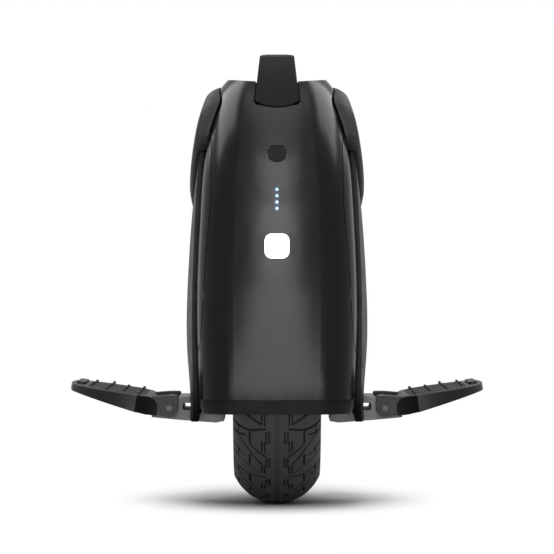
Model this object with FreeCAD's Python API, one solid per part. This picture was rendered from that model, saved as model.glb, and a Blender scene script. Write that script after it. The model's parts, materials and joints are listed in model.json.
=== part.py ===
import FreeCAD, Part
import math
import os

# An electric unicycle: one motor wheel in a moulded body, with two folding pedals and a carry handle.
# Millimetres. +Z is up, the front looks along -Y, and +X is to the right as seen from the front.
# The origin is on the ground, below the centre of the wheel.

# Clearances
OVERRUN = 6.0  # how far a cut runs past what it cuts
SEAT_GAP = 0.3  # between pieces fixed against each other
RUN_GAP = 0.05  # radial play of a turning fit
SCREW_GAP = 0.1  # radial play round screws, bolts and pressed rings
SEAM_GAP = 0.6  # visible seam between two shells

# Tyre, tube and rim
TYRE_DIAMETER = 356.0
TYRE_WIDTH = 85.0
TYRE_SECTION_HEIGHT = 51.0
CROWN_DROP = 28.0  # from the crown down to the shoulder
TYRE_WALL = 5.5
SIDE_ROUND = 0.8
TREAD_THICKNESS = 8.0
TREAD_DEPTH = 3.0
CENTRE_GROOVE_WIDTH = 1.0
CENTRE_GROOVE_SPACING = 2.6
LUG_GROOVE_WIDTH = 2.4
LUG_GROOVE_REACH = 12.0
TREAD_PITCHES = 16
LUG_GROOVE_SHARES = (
    ((0.22, -0.55), (0.22, 0.0), (0.34, 0.30), (0.62, 0.45), (0.80, 0.75), (1.06, 1.25)),
    ((0.22, -0.95), (0.22, 0.2), (0.40, 0.0), (0.58, -0.22), (0.80, -0.42), (1.06, -0.50)),
)
BEAD_WIDTH = 7.0
RIM_WIDTH = 70.0
RIM_FLANGE_HEIGHT = 6.0
RIM_FLANGE_THICKNESS = 2.7
RIM_THICKNESS = 10.0
RIM_DROP = 4.0
RIM_SEAT_MARGIN = 1.0
RIM_SLOPE_WIDTH = 5.0
RIM_UNDERCUT = 4.0
TUBE_WALL = 2.0

# Valve
STEM_RADIUS = 3.85
STEM_NECK_RADIUS = 3.2
STEM_BEND = 17.0  # from the bead seat in to the stem's centre line
STEM_OFFSET = 4.2  # from the motor's side face out to the neck
STEM_RECESS = 1.5  # the tip lies this far inside the tyre's width
STEM_SHOULDER = 3.8  # from the neck out to the thicker end of the stem
STEM_NOTCH = 3.0

# Motor
MOTOR_WIDTH = 40.0
ROTOR_RING_THICKNESS = 8.0
MAGNET_THICKNESS = 3.5
MAGNET_COUNT = 28
MAGNET_FILL_SHARE = 0.86
AIR_GAP = 0.8
STATOR_STACK = 28.0
STATOR_BORE = 124.0
STATOR_YOKE = 12.0
TOOTH_COUNT = 24
TOOTH_WIDTH = 10.0
TOOTH_TIP = 4.5
SLOT_OPENING = 3.0
COIL_WIDTH = 18.0
COIL_OVERHANG = 5.0
COIL_ROUND = 4.0
COIL_GAP = 1.0
CARRIER_WIDTH = 16.0
CARRIER_HOLES = 6
CARRIER_HOLE_DIAMETER = 24.0
COVER_FACE = 39.0  # from the wheel's middle plane to a motor cover's outer face
COVER_WALL = 4.0
COVER_FLANGE = 5.0
COVER_FLANGE_WIDTH = 13.0
COVER_CONE = 16.0
COVER_BOSS_WALL = 7.0
COVER_BOSS_PROUD = 2.0
COVER_RIBS = 12
COVER_RIB_WIDTH = 3.0
COVER_RIB_HEIGHT = 1.5
COVER_SCREWS = 8
COVER_SCREW_RADIUS = 2.0
COVER_SCREW_HEAD = 3.6
COVER_SCREW_HEAD_HEIGHT = 2.2
COVER_SCREW_DEPTH = 9.0

# Axle and bearings
AXLE_DIAMETER = 20.0
AXLE_LENGTH = 148.0
AXLE_FLAT = 2.0  # cut off each side of the axle's ends
AXLE_NUT_WIDTH = 30.0
AXLE_NUT_THICKNESS = 7.0
BEARING_DIAMETER = 42.0
BEARING_WIDTH = 12.0
BEARING_RING = 3.9
BALL_RADIUS = 3.2
BALL_COUNT = 9

# Wheel well
WELL_CLEARANCE = 9.0
WELL_SIDE_CLEARANCE = 7.0
WELL_WALL = 2.5
WELL_BOTTOM = 96.0
AXLE_SLOT_WIDTH = 30.0
SKIRT_WALL = 2.5
SKIRT_HEIGHT = 34.0
SKIRT_FLOOR = 2.5
POST_LENGTH = 24.0
POST_WIDTH = 30.0
TONGUE_WIDTH = 14.0
TONGUE_DEPTH = 20.0
HANDLE_BOLT_RADIUS = 3.0
HANDLE_BOLT_HEAD = 5.0
HANDLE_BOLT_HEAD_HEIGHT = 4.0

# Body shells
BODY_LENGTH = 410.0
BODY_BOTTOM = 85.0
BODY_TOP = 418.0
SHELL_WIDTH = 152.6
SHELL_WALL = 3.0
WAIST_HEIGHT = 245.0  # where the front is furthest forward
UPPER_ARC = 218.0
LOWER_ARC = 700.0
FRONT_RADIUS = 240.0
CORNER_SHARE = 0.55
TOP_DISH = 3.0
FRONT_BOTTOM = 110.0
SHELL_SHARES = (
    (0.0, 0.970), (0.195, 0.991), (0.36, 1.0), (0.495, 0.983), (0.645, 0.949),
    (0.765, 0.905), (0.87, 0.835), (0.945, 0.767), (1.0, 0.629),
)
SEAM_SHARES = (
    (1.03, 0.826), (0.64, 0.826), (0.49, 0.886), (0.36, 0.922), (0.25, 0.956), (0.19, 1.0), (-0.03, 1.08),
)
SIDE_ZONE_SHARE = 0.90

# Side covers
SIDE_WIDTH = 179.0
SIDE_SHARES = (
    (0.0, 0.978), (0.195, 0.997), (0.36, 1.0), (0.495, 0.975), (0.645, 0.930),
    (0.765, 0.872), (0.87, 0.795), (0.945, 0.720),
)
SIDE_MARGIN = 55.0  # from the body's outline in to the side cover's outline
SIDE_COVER_BOTTOM = 86.0
SIDE_COVER_TOP = 388.0
SIDE_COVER_WALL = 2.5
SIDE_COVER_LOWER_CORNER = 28.0
SIDE_COVER_UPPER_CORNER = 24.0
SIDE_COVER_GAP = 2.5  # the dark gap round the side cover
SIDE_COVER_EDGE = 2.5
SIDE_RIM_INSET = 7.0
SIDE_RIM_WALL = 3.0
SIDE_OPENING_INSET = 20.0
SIDE_SCREW_RADIUS = 2.0
SIDE_SCREW_HEAD = 3.4
SIDE_SCREW_HEAD_HEIGHT = 2.0
SIDE_SCREW_SINK = 0.6
SIDE_SCREW_INSET = 14.0
SIDE_SCREW_BOSS = 4.6
SIDE_SCREW_HEIGHT_SHARES = (0.17, 0.862)
HANGER_NOTCH_GAP = 3.0

# Leg pads
PAD_HALF_LENGTH = 138.0
PAD_BOTTOM = 297.0
PAD_TOP = 412.5
PAD_THICKNESS = 7.6
PAD_EDGE = 2.4
PAD_ROOT = 9.0
PAD_CROWN_HEIGHT_SHARE = 0.56
PAD_SHARES = (
    (0.0, 0.0, 1.0, 1.0), (0.26, 0.12, 1.0, 0.98), (0.46, 0.30, 0.995, 0.92), (0.68, 0.46, 0.98, 0.82),
    (0.86, 0.56, 0.92, 0.66), (0.955, 0.63, 0.85, 0.48), (1.0, 0.70, 0.78, 0.30),
)

# Handle and hand well
HANDLE_TOP = 447.0
HANDLE_SHOULDER_DROP = 7.0
HANDLE_UNDER_DROP = 3.5  # how far the grip's underside falls from its middle to its ends
HANDLE_SHOULDER_REACH = 112.0
HANDLE_THICKNESS = 20.0
HANDLE_FOOT_LENGTH = 40.0
HANDLE_FOOT_BOTTOM = 378.0
HANDLE_LEG_BULGE = 5.0
HANDLE_WIDTH = 33.4
HANDLE_FOOT_WIDTH = 42.8
HANDLE_CROWN = 3.6
HANDLE_CORNER = 3.5
HANDLE_FOOT_EDGE = 390.0  # lowest point of the foot seen in its pocket
HANDLE_FOOT_ROUND = 6.0
HANDLE_INNER_ROUND = 20.0
HANDLE_GRIP_ROUND = 5.0
POCKET_GAP = 1.2
HAND_WELL_WIDTH = 84.0
HAND_WELL_FLOOR = 384.0
HAND_WELL_ROUND = 16.0
HAND_WELL_WALL = 2.5
HAND_WELL_FLANGE = 2.4
HAND_WELL_LEG_GAP = 2.0

# Controls on the front
BUTTON_HEIGHT = 256.0
BUTTON_SIZE = 23.2
BUTTON_ROUND = 6.4
BUTTON_GAP = 0.4
BUTTON_PROUD = 0.9
BUTTON_DEPTH = 6.0
BUTTON_TRAVEL = 1.2
LIGHT_COUNT = 4
LIGHT_LOWEST = 291.6
LIGHT_PITCH = 6.0
LIGHT_RADIUS = 1.4
BOARD_BACK = 186.0  # from the middle to the control board's back face
BOARD_THICKNESS = 1.6
BOARD_WIDTH = 44.0
BOARD_MARGIN = 8.0
BOSS_RADIUS = 3.0
CAP_HEIGHT = 344.0
CAP_DIAMETER = 17.2
CAP_THICKNESS = 2.4
CAP_GAP = 0.7
CAP_PIN_RADIUS = 0.6
CAP_PIN_SETBACK = 1.8  # from the cap's top edge down to its pin
CAP_PIN_REACH = 2.0  # how far the pin runs into the cover on each side
SOCKET_BORE = 9.0
SOCKET_WALL = 2.4
SOCKET_BORE_DEPTH = 7.0
SOCKET_DEPTH = 16.0
SOCKET_SETBACK = 3.8
SOCKET_FLANGE = 26.0
SOCKET_FLANGE_THICKNESS = 2.0
CONTACT_COUNT = 3
CONTACT_RADIUS = 1.0
CONTACT_CIRCLE = 2.4

# Rear lamp, controller and batteries
LAMP_HEIGHT = 330.0
LAMP_WIDTH = 64.0
LAMP_TALL = 14.0
LAMP_GAP = 0.3
LAMP_BOARD_THICKNESS = 1.6
LAMP_FLANGE = 3.0
SINK_LENGTH = 120.0
SINK_WIDTH = 84.0
SINK_RISE = 3.0  # above the crown of the wheel well
SINK_DEPTH = 14.0
SINK_SLOTS = 5
SINK_SLOT_WIDTH = 4.0
CONTROLLER_THICKNESS = 1.6
CONTROLLER_MARGIN = 3.0
CAPACITOR_COUNT = 4
CAPACITOR_RADIUS = 4.0
CAPACITOR_LENGTH = 26.0
CAPACITOR_PITCH = 14.0
CELL_DIAMETER = 18.4
CELL_LENGTH = 65.0
CELL_COUNT = 9
CELL_INNER_RADIUS = 88.0
CELL_PITCH_ANGLE = 12.2
CELL_TRAY_WALL = 1.5
CELL_TRAY_LIP = 6.0

# Hangers and under trays
HANGER_LEG = 12.0
HANGER_BOSS = 24.0
HANGER_FOOT_LENGTH = 100.0
HANGER_TAPER_TOP = 30.0  # below the axle, where the leg starts to widen
HANGER_FOOT_RISE = 10.5  # from the pivot up to the top of the foot
HANGER_FOOT_DROP = 13.5  # from the pivot down to the foot's inner corner
HANGER_KEEL_DROP = 15.0
HANGER_KEEL_OFFSET = 8.0
HANGER_SOLE_DROP = 11.0
BARREL_RADIUS = 9.6
WINDOW_WIDTH = 9.0
WINDOW_TALL = 7.0
WINDOW_OFFSET = 13.0  # from the pivot in to the window's outer edge
WINDOW_RISE = 1.0
LIP_REACH = 16.0
LIP_THICKNESS = 3.0
HANGER_BOLT_RADIUS = 3.0
HANGER_BOLT_HEAD = 5.0
HANGER_BOLT_HEAD_HEIGHT = 3.6
HANGER_BOLT_SHARES = ((0.30, 0.30), (0.42, 0.55))
UNDER_TRAY_HEIGHT = 104.0
UNDER_TRAY_THICKNESS = 2.5
UNDER_TRAY_GAP = 3.0
UNDER_TRAY_REACH = 150.0

# Pedals
PIVOT_OFFSET = 106.0
PIVOT_HEIGHT = 97.5
PEDAL_TILT = 9.0
PEDAL_REACH = 101.0
PEDAL_LENGTH = 206.0
PEDAL_ROOT = 11.5
PEDAL_ROOT_ROUND = 12.0
PEDAL_TOP = 9.0
PEDAL_SOLE = 9.0
PEDAL_SOLE_FLAT = 10.0
PEDAL_TIP_THICKNESS = 6.0
PEDAL_TIP_ROUND = 3.0
PEDAL_NECK_WIDTH = 146.0
PEDAL_SHOULDER = 32.0  # from the pivot out to the widest part
PEDAL_TIP_WIDTH = 120.0
PEDAL_TIP_BOW = 4.0
PEDAL_EDGE_ROUND = 1.2
PEDAL_RIM = 6.0
LUG_RADIUS = 8.6
LUG_TOP = 12.4
LUG_WIDTH = 19.0
LUG_GAP = 1.0
LUG_ROUND = 2.0
PIN_DIAMETER = 7.6
PIN_RECESS = 0.6
PIN_SOCKET_WIDTH = 4.0
PIN_SOCKET_DEPTH = 2.5
MAT_DEPTH = 1.6
MAT_START = 25.0
SOLE_POCKET_ROOF = 4.0
SOLE_POCKET_WALL = 6.0
SOLE_RIB = 4.0
SOLE_POCKETS = 4
SOLE_POCKET_END = 62.0
STUD_RADIUS = 1.4
STUD_HEIGHT = 3.0
STUD_DEPTH = 2.0
STUD_SHARES = (
    (0.31, 0.30), (0.31, 0.74), (0.46, 0.0), (0.46, 0.52),
    (0.62, 0.26), (0.62, 0.80), (0.78, 0.0), (0.78, 0.50),
)
END_LIP_WIDTH = 8.0
END_LIP_LENGTH = 84.0
END_LIP_HEIGHT = 2.4
END_LIP_INSET = 2.5
PEDAL_MAGNET_RADIUS = 5.0
PEDAL_MAGNET_THICKNESS = 2.0
PEDAL_MAGNET_PLACE = 54.0

# Worked out from the sizes above
FULL_TURN = 360.0
AXLE_HEIGHT = TYRE_DIAMETER / 2
BEAD_RADIUS = TYRE_DIAMETER / 2 - TYRE_SECTION_HEIGHT
RIM_BORE_RADIUS = BEAD_RADIUS - RIM_THICKNESS
RING_OUTER = RIM_BORE_RADIUS - SCREW_GAP
RING_INNER = RING_OUTER - ROTOR_RING_THICKNESS
MAGNET_OUTER = RING_INNER - SCREW_GAP
MAGNET_INNER = MAGNET_OUTER - MAGNET_THICKNESS
STATOR_OUTER = MAGNET_INNER - AIR_GAP
YOKE_OUTER = STATOR_BORE / 2 + STATOR_YOKE
MOTOR_HALF = MOTOR_WIDTH / 2
AXLE_RADIUS = AXLE_DIAMETER / 2
BEARING_OUTER = BEARING_DIAMETER / 2
BEARING_END = COVER_FACE
BEARING_START = BEARING_END - BEARING_WIDTH
BALL_CIRCLE = (AXLE_RADIUS + BEARING_OUTER) / 2
STEM_LINE = BEAD_RADIUS - STEM_BEND
STEM_X = MOTOR_HALF + STEM_OFFSET
STEM_TIP = TYRE_WIDTH / 2 - STEM_RECESS
WELL_RADIUS = TYRE_DIAMETER / 2 + WELL_CLEARANCE
WELL_OUTER = WELL_RADIUS + WELL_WALL
WELL_HALF = TYRE_WIDTH / 2 + WELL_SIDE_CLEARANCE
WELL_SIDE = WELL_HALF + WELL_WALL
HANGER_INNER = WELL_SIDE + SEAT_GAP
HANGER_OUTER = HANGER_INNER + HANGER_LEG
FOOT_TOP = PIVOT_HEIGHT + HANGER_FOOT_RISE
SIDE_REACH = BODY_LENGTH / 2 - SIDE_MARGIN
FAR = BODY_LENGTH  # longer than any piece that is cut


def vec(x, y, z):
    return FreeCAD.Vector(x, y, z)


ORIGIN = vec(0, 0, 0)
X_AXIS = vec(1, 0, 0)
Y_AXIS = vec(0, 1, 0)
Z_AXIS = vec(0, 0, 1)
HUB = vec(0, 0, AXLE_HEIGHT)
PIVOT = vec(PIVOT_OFFSET, 0, PIVOT_HEIGHT)


# Shapes used by many pieces
def box(low, high):
    size = high - low
    return Part.makeBox(size.x, size.y, size.z, low)


def rod(radius, start, end):
    along = end - start
    return Part.makeCylinder(radius, along.Length, start, along)


def outline(start, *steps):
    """A closed wire: each step is an end point for a line, or a middle and an end point for an arc."""
    edges = []
    here = start
    for step in steps:
        end = step[-1]
        if len(step) == 1:
            edges.append(Part.LineSegment(here, end).toShape())
        else:
            edges.append(Part.Arc(here, step[0], end).toShape())
        here = end
    return Part.Wire(edges)


def polygon(points):
    return Part.makePolygon(points + points[:1])


def turned(point, centre, axis, sixths):
    """A point turned round an axis by sixths of a turn."""
    return centre + FreeCAD.Rotation(axis, sixths * FULL_TURN / 6).multVec(point - centre)


def prism(wire, start, reach):
    face = Part.Face(wire)
    face.translate(start)
    return face.extrude(reach)


def across(wire, half):
    """A wire in the YZ plane, extruded along X to both sides."""
    return prism(wire, vec(-half, 0, 0), vec(2 * half, 0, 0))


def along(wire, half):
    """A wire in the XZ plane, extruded along Y to both sides."""
    return prism(wire, vec(0, -half, 0), vec(0, 2 * half, 0))


def rounded_block(low, high, radius, axis):
    """A box whose edges along one axis are rounded."""
    block = box(low, high)
    edges = [e for e in block.Edges if abs(e.tangentAt(e.FirstParameter).dot(axis)) > math.cos(math.pi / 4)]
    return block.makeFillet(radius, edges)


def left_of(shape):
    return shape.mirror(ORIGIN, X_AXIS)


def rear_of(shape):
    return shape.mirror(ORIGIN, Y_AXIS)


def group(shapes):
    return Part.makeCompound(shapes)


def both(shape):
    """A piece and its twin on the left, in one node."""
    return group(shape.Solids + left_of(shape).Solids)


# Shapes round the axle
def wheel_point(x, radius):
    return vec(x, 0, AXLE_HEIGHT + radius)


def spun(wire):
    return Part.Face(wire).revolve(HUB, X_AXIS, FULL_TURN)


def disc(radius, low, high):
    return rod(radius, HUB + vec(low, 0, 0), HUB + vec(high, 0, 0))


def ring(inner, outer, low, high):
    return disc(outer, low, high).cut(disc(inner, low - OVERRUN, high + OVERRUN))


def round_axle(shape, count, turn=0.0):
    step = FULL_TURN / count
    return [shape.rotated(HUB, X_AXIS, turn + step * i) for i in range(count)]


# Wheel
def tyre_cavity(inset):
    """The section inside the tyre, drawn in by an inset."""
    toe = RIM_WIDTH / 2 - BEAD_WIDTH - inset
    side = TYRE_WIDTH / 2 - TYRE_WALL - inset
    foot = BEAD_RADIUS + inset
    shoulder = TYRE_DIAMETER / 2 - CROWN_DROP
    bulge = (BEAD_RADIUS + shoulder) / 2
    crown = TYRE_DIAMETER / 2 - TREAD_THICKNESS - inset
    return outline(
        wheel_point(-toe, foot),
        (wheel_point(SIDE_ROUND - side, bulge), wheel_point(-side, shoulder)),
        (wheel_point(0, crown), wheel_point(side, shoulder)),
        (wheel_point(side - SIDE_ROUND, bulge), wheel_point(toe, foot)),
        (wheel_point(-toe, foot),),
    )


def tyre_shell(inset):
    """The outer section of the tyre, drawn in by an inset."""
    heel = RIM_WIDTH / 2
    side = TYRE_WIDTH / 2 - inset
    crown = TYRE_DIAMETER / 2 - inset
    shoulder = TYRE_DIAMETER / 2 - CROWN_DROP
    flange = BEAD_RADIUS + RIM_FLANGE_HEIGHT + SEAT_GAP
    bulge = (flange + shoulder) / 2
    return outline(
        wheel_point(heel, BEAD_RADIUS),
        (wheel_point(heel, flange),),
        (wheel_point(side - SIDE_ROUND, bulge), wheel_point(side, shoulder)),
        (wheel_point(0, crown), wheel_point(-side, shoulder)),
        (wheel_point(SIDE_ROUND - side, bulge), wheel_point(-heel, flange)),
        (wheel_point(-heel, BEAD_RADIUS),),
        (wheel_point(heel, BEAD_RADIUS),),
    )


def ribbon(points, width):
    """A flat strip of even width along a bent line in the XY plane, as a wire."""
    near = []
    far = []
    for i, point in enumerate(points):
        before = points[max(i - 1, 0)]
        after = points[min(i + 1, len(points) - 1)]
        run = (after - before).normalize()
        side = vec(-run.y, run.x, 0) * (width / 2)
        near.append(point + side)
        far.append(point - side)
    return polygon(near + far[::-1])


def tread_grooves(layer):
    """The hooked grooves from the centre rib out over each shoulder, as deep as the tread layer."""
    half = TYRE_WIDTH / 2
    start = vec(0, 0, AXLE_HEIGHT + BEAD_RADIUS)
    turn = FULL_TURN / TREAD_PITCHES / len(LUG_GROOVE_SHARES)
    grooves = []
    for i, shares in enumerate(LUG_GROOVE_SHARES):
        line = [vec(half * x, LUG_GROOVE_REACH * y, 0) for x, y in shares]
        one = prism(ribbon(line, LUG_GROOVE_WIDTH), start, vec(0, 0, TYRE_SECTION_HEIGHT + OVERRUN))
        one = one.common(layer)
        for groove in (one, left_of(one)):
            grooves += round_axle(groove, TREAD_PITCHES, turn * i)
    return grooves


def tyre():
    shell = spun(tyre_shell(0))
    layer = shell.cut(spun(tyre_shell(TREAD_DEPTH)))
    casing = shell.cut(spun(tyre_cavity(0)))
    bottom = TYRE_DIAMETER / 2 - TREAD_DEPTH
    top = TYRE_DIAMETER / 2 + OVERRUN
    grooves = []
    for side in (-1, 1):
        middle = side * CENTRE_GROOVE_SPACING / 2
        half = CENTRE_GROOVE_WIDTH / 2
        grooves.append(ring(bottom, top, middle - half, middle + half))
    return casing.cut(grooves + tread_grooves(layer))


def inner_tube():
    outer = spun(tyre_cavity(SEAT_GAP))
    return outer.cut(spun(tyre_cavity(SEAT_GAP + TUBE_WALL)))


def valve_stem():
    """A bent stem: the neck comes in through the rim, then the stem turns out sideways."""
    bend = vec(STEM_X, 0, AXLE_HEIGHT - STEM_LINE)
    neck = rod(STEM_NECK_RADIUS, bend, vec(STEM_X, 0, AXLE_HEIGHT - BEAD_RADIUS))
    shoulder = bend + X_AXIS * STEM_SHOULDER
    branch = rod(STEM_NECK_RADIUS, bend, shoulder)
    stem = rod(STEM_RADIUS, shoulder, vec(STEM_TIP, 0, AXLE_HEIGHT - STEM_LINE))
    elbow = Part.makeSphere(STEM_NECK_RADIUS, bend)
    return stem.fuse([branch, neck, elbow]).removeSplitter()


def rim():
    seat = BEAD_RADIUS - SEAT_GAP
    seat_start = RIM_WIDTH / 2 - BEAD_WIDTH - RIM_SEAT_MARGIN
    flange_in = RIM_WIDTH / 2 + SEAT_GAP
    flange_out = flange_in + RIM_FLANGE_THICKNESS
    flange_top = BEAD_RADIUS + RIM_FLANGE_HEIGHT
    right = [
        (seat_start - RIM_SLOPE_WIDTH, BEAD_RADIUS - RIM_DROP),
        (seat_start, seat),
        (flange_in, seat),
        (flange_in, flange_top),
        (flange_out, flange_top),
        (flange_out, RIM_BORE_RADIUS + RIM_UNDERCUT),
        (flange_in - RIM_SLOPE_WIDTH, RIM_BORE_RADIUS),
    ]
    points = [wheel_point(x, r) for x, r in right]
    points += [wheel_point(-x, r) for x, r in right[::-1]]
    casting = spun(polygon(points))
    hole_end = vec(STEM_X, 0, AXLE_HEIGHT - BEAD_RADIUS - OVERRUN)
    hole = rod(STEM_NECK_RADIUS + SCREW_GAP, vec(STEM_X, 0, AXLE_HEIGHT - STEM_LINE), hole_end)
    return casting.cut(hole)


def cover_screw_places():
    middle = RING_OUTER - ROTOR_RING_THICKNESS / 2
    return middle, FULL_TURN / COVER_SCREWS / 2


def screw_round_axle(radius, low, high):
    place, turn = cover_screw_places()
    one = rod(radius, wheel_point(low, place), wheel_point(high, place))
    return round_axle(one, COVER_SCREWS, turn)


def rotor_ring():
    plain = ring(RING_INNER, RING_OUTER, -MOTOR_HALF, MOTOR_HALF)
    hole = COVER_SCREW_RADIUS + SCREW_GAP
    depth = MOTOR_HALF - COVER_SCREW_DEPTH - SCREW_GAP
    right = screw_round_axle(hole, depth, MOTOR_HALF + OVERRUN)
    return plain.cut(right + [left_of(h) for h in right])


def magnets():
    half_turn = FULL_TURN / MAGNET_COUNT * MAGNET_FILL_SHARE / 2
    low = STATOR_STACK / 2
    section = polygon([
        wheel_point(-low, MAGNET_INNER),
        wheel_point(low, MAGNET_INNER),
        wheel_point(low, MAGNET_OUTER),
        wheel_point(-low, MAGNET_OUTER),
    ])
    one = Part.Face(section).revolve(HUB, X_AXIS, 2 * half_turn).rotated(HUB, X_AXIS, -half_turn)
    return group(round_axle(one, MAGNET_COUNT))


def motor_cover(valve_notch):
    """The right motor cover: bolt flange, cone, ribbed face and bearing boss."""
    top = RIM_BORE_RADIUS - SEAT_GAP
    flange_low = top - COVER_FLANGE_WIDTH
    cone_low = flange_low - COVER_CONE
    boss = BEARING_OUTER + COVER_BOSS_WALL
    seat = BEARING_OUTER + SCREW_GAP
    inner = COVER_FACE - COVER_WALL
    points = [
        (MOTOR_HALF, top),
        (MOTOR_HALF + COVER_FLANGE, top),
        (MOTOR_HALF + COVER_FLANGE, flange_low),
        (COVER_FACE, cone_low),
        (COVER_FACE, boss),
        (COVER_FACE + COVER_BOSS_PROUD, boss - COVER_BOSS_PROUD),
        (COVER_FACE + COVER_BOSS_PROUD, seat),
        (BEARING_START - SEAT_GAP, seat),
        (BEARING_START - SEAT_GAP, boss),
        (inner, boss),
        (inner, cone_low),
        (MOTOR_HALF, flange_low),
    ]
    cover = spun(polygon([wheel_point(x, r) for x, r in points]))
    rib_low = HUB + vec(COVER_FACE - COVER_WALL / 2, -COVER_RIB_WIDTH / 2, boss - COVER_BOSS_PROUD)
    rib_end = cone_low - COVER_RIB_WIDTH
    rib_high = HUB + vec(COVER_FACE + COVER_RIB_HEIGHT, COVER_RIB_WIDTH / 2, rib_end)
    cover = cover.fuse(round_axle(box(rib_low, rib_high), COVER_RIBS))
    cuts = screw_round_axle(COVER_SCREW_RADIUS + SCREW_GAP, MOTOR_HALF - OVERRUN, COVER_FACE)
    if valve_notch:
        half = STEM_RADIUS + STEM_NOTCH
        low = vec(MOTOR_HALF - OVERRUN, -half, AXLE_HEIGHT - top - OVERRUN)
        cuts.append(box(low, vec(COVER_FACE + OVERRUN, half, AXLE_HEIGHT - STEM_LINE + half)))
    return cover.cut(cuts)


def motor_cover_screws():
    face = MOTOR_HALF + COVER_FLANGE
    shanks = screw_round_axle(COVER_SCREW_RADIUS, MOTOR_HALF - COVER_SCREW_DEPTH, face)
    heads = screw_round_axle(COVER_SCREW_HEAD, face, face + COVER_SCREW_HEAD_HEIGHT)
    right = [shank.fuse(head) for shank, head in zip(shanks, heads)]
    return group(right + [left_of(screw) for screw in right])


def stator_core():
    half = STATOR_STACK / 2
    plain = ring(STATOR_BORE / 2, STATOR_OUTER, -half, half)
    half_pitch = math.pi / TOOTH_COUNT
    slot_top = STATOR_OUTER - TOOTH_TIP
    low = YOKE_OUTER * math.tan(half_pitch) - TOOTH_WIDTH / 2
    high = slot_top * math.tan(half_pitch) - TOOTH_WIDTH / 2
    neck = SLOT_OPENING / 2
    points = [
        (-low, YOKE_OUTER),
        (low, YOKE_OUTER),
        (high, slot_top),
        (neck, slot_top),
        (neck, STATOR_OUTER + OVERRUN),
        (-neck, STATOR_OUTER + OVERRUN),
        (-neck, slot_top),
        (-high, slot_top),
    ]
    slot = across(polygon([HUB + vec(0, y, r) for y, r in points]), half + OVERRUN)
    return plain.cut(round_axle(slot, TOOTH_COUNT, FULL_TURN / TOOTH_COUNT / 2))


def stator_windings():
    """One coil round each tooth."""
    low = YOKE_OUTER + COIL_GAP
    high = STATOR_OUTER - TOOTH_TIP - COIL_GAP
    reach = STATOR_STACK / 2 + COIL_OVERHANG
    half = COIL_WIDTH / 2
    coil = rounded_block(HUB + vec(-reach, -half, low), HUB + vec(reach, half, high), COIL_ROUND, Z_AXIS)
    tooth = TOOTH_WIDTH / 2 + SEAT_GAP
    stack = STATOR_STACK / 2 + SEAT_GAP
    hole = box(HUB + vec(-stack, -tooth, low - OVERRUN), HUB + vec(stack, tooth, high + OVERRUN))
    return group(round_axle(coil.cut(hole), TOOTH_COUNT))


def stator_carrier():
    half = CARRIER_WIDTH / 2
    plain = ring(AXLE_RADIUS + SCREW_GAP, STATOR_BORE / 2 - SCREW_GAP, -half, half)
    place = (AXLE_RADIUS + STATOR_BORE / 2) / 2
    far = half + OVERRUN
    hole = rod(CARRIER_HOLE_DIAMETER / 2, wheel_point(-far, place), wheel_point(far, place))
    return plain.cut(round_axle(hole, CARRIER_HOLES))


def axle_blank(gap):
    """The axle, grown by a gap, with two flats on each end."""
    radius = AXLE_RADIUS + gap
    blank = disc(radius, -AXLE_LENGTH / 2, AXLE_LENGTH / 2)
    flat = AXLE_RADIUS - AXLE_FLAT + gap
    cuts = []
    for side in (-1, 1):
        low = HUB + vec(HANGER_INNER, -radius, flat)
        high = HUB + vec(AXLE_LENGTH, radius, radius + OVERRUN)
        block = box(low, high).rotated(HUB, X_AXIS, FULL_TURN / 4 * (1 + side))
        cuts += [block, left_of(block)]
    return blank.cut(cuts)


def axle_nuts():
    corner = AXLE_NUT_WIDTH / 2 / math.cos(math.pi / 6)
    first = HUB + vec(0, corner, 0)
    hexagon = polygon([turned(first, HUB, X_AXIS, i) for i in range(6)])
    nut = prism(hexagon, vec(HANGER_OUTER, 0, 0), vec(AXLE_NUT_THICKNESS, 0, 0))
    nut = nut.cut(disc(AXLE_RADIUS + SCREW_GAP, 0, AXLE_LENGTH))
    return group([nut, left_of(nut)])


def bearing_ring(inner, outer):
    """One ring of the right-hand bearing, with its ball track."""
    plain = ring(inner, outer, BEARING_START, BEARING_END)
    middle = HUB + vec((BEARING_START + BEARING_END) / 2, 0, 0)
    return plain.cut(Part.makeTorus(BALL_CIRCLE, BALL_RADIUS + RUN_GAP, middle, X_AXIS))


def bearing_balls():
    ball = Part.makeSphere(BALL_RADIUS, wheel_point((BEARING_START + BEARING_END) / 2, BALL_CIRCLE))
    right = round_axle(ball, BALL_COUNT)
    return group(right + [left_of(b) for b in right])


# The body's outer form
def body_height(share):
    return BODY_BOTTOM + share * (BODY_TOP - BODY_BOTTOM)


def body_reach(z):
    """Half the body's length at a height: one arc above the waist and one below it."""
    radius = UPPER_ARC if z > WAIST_HEIGHT else LOWER_ARC
    return BODY_LENGTH / 2 - radius + math.sqrt(radius ** 2 - (z - WAIST_HEIGHT) ** 2)


def share_at(shares, z):
    """A share read off a table of shares of the body's height."""
    height = (z - BODY_BOTTOM) / (BODY_TOP - BODY_BOTTOM)
    for (low, first), (high, second) in zip(shares, shares[1:]):
        if height <= high:
            return first + (second - first) * (height - low) / (high - low)
    return shares[-1][1]


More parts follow.
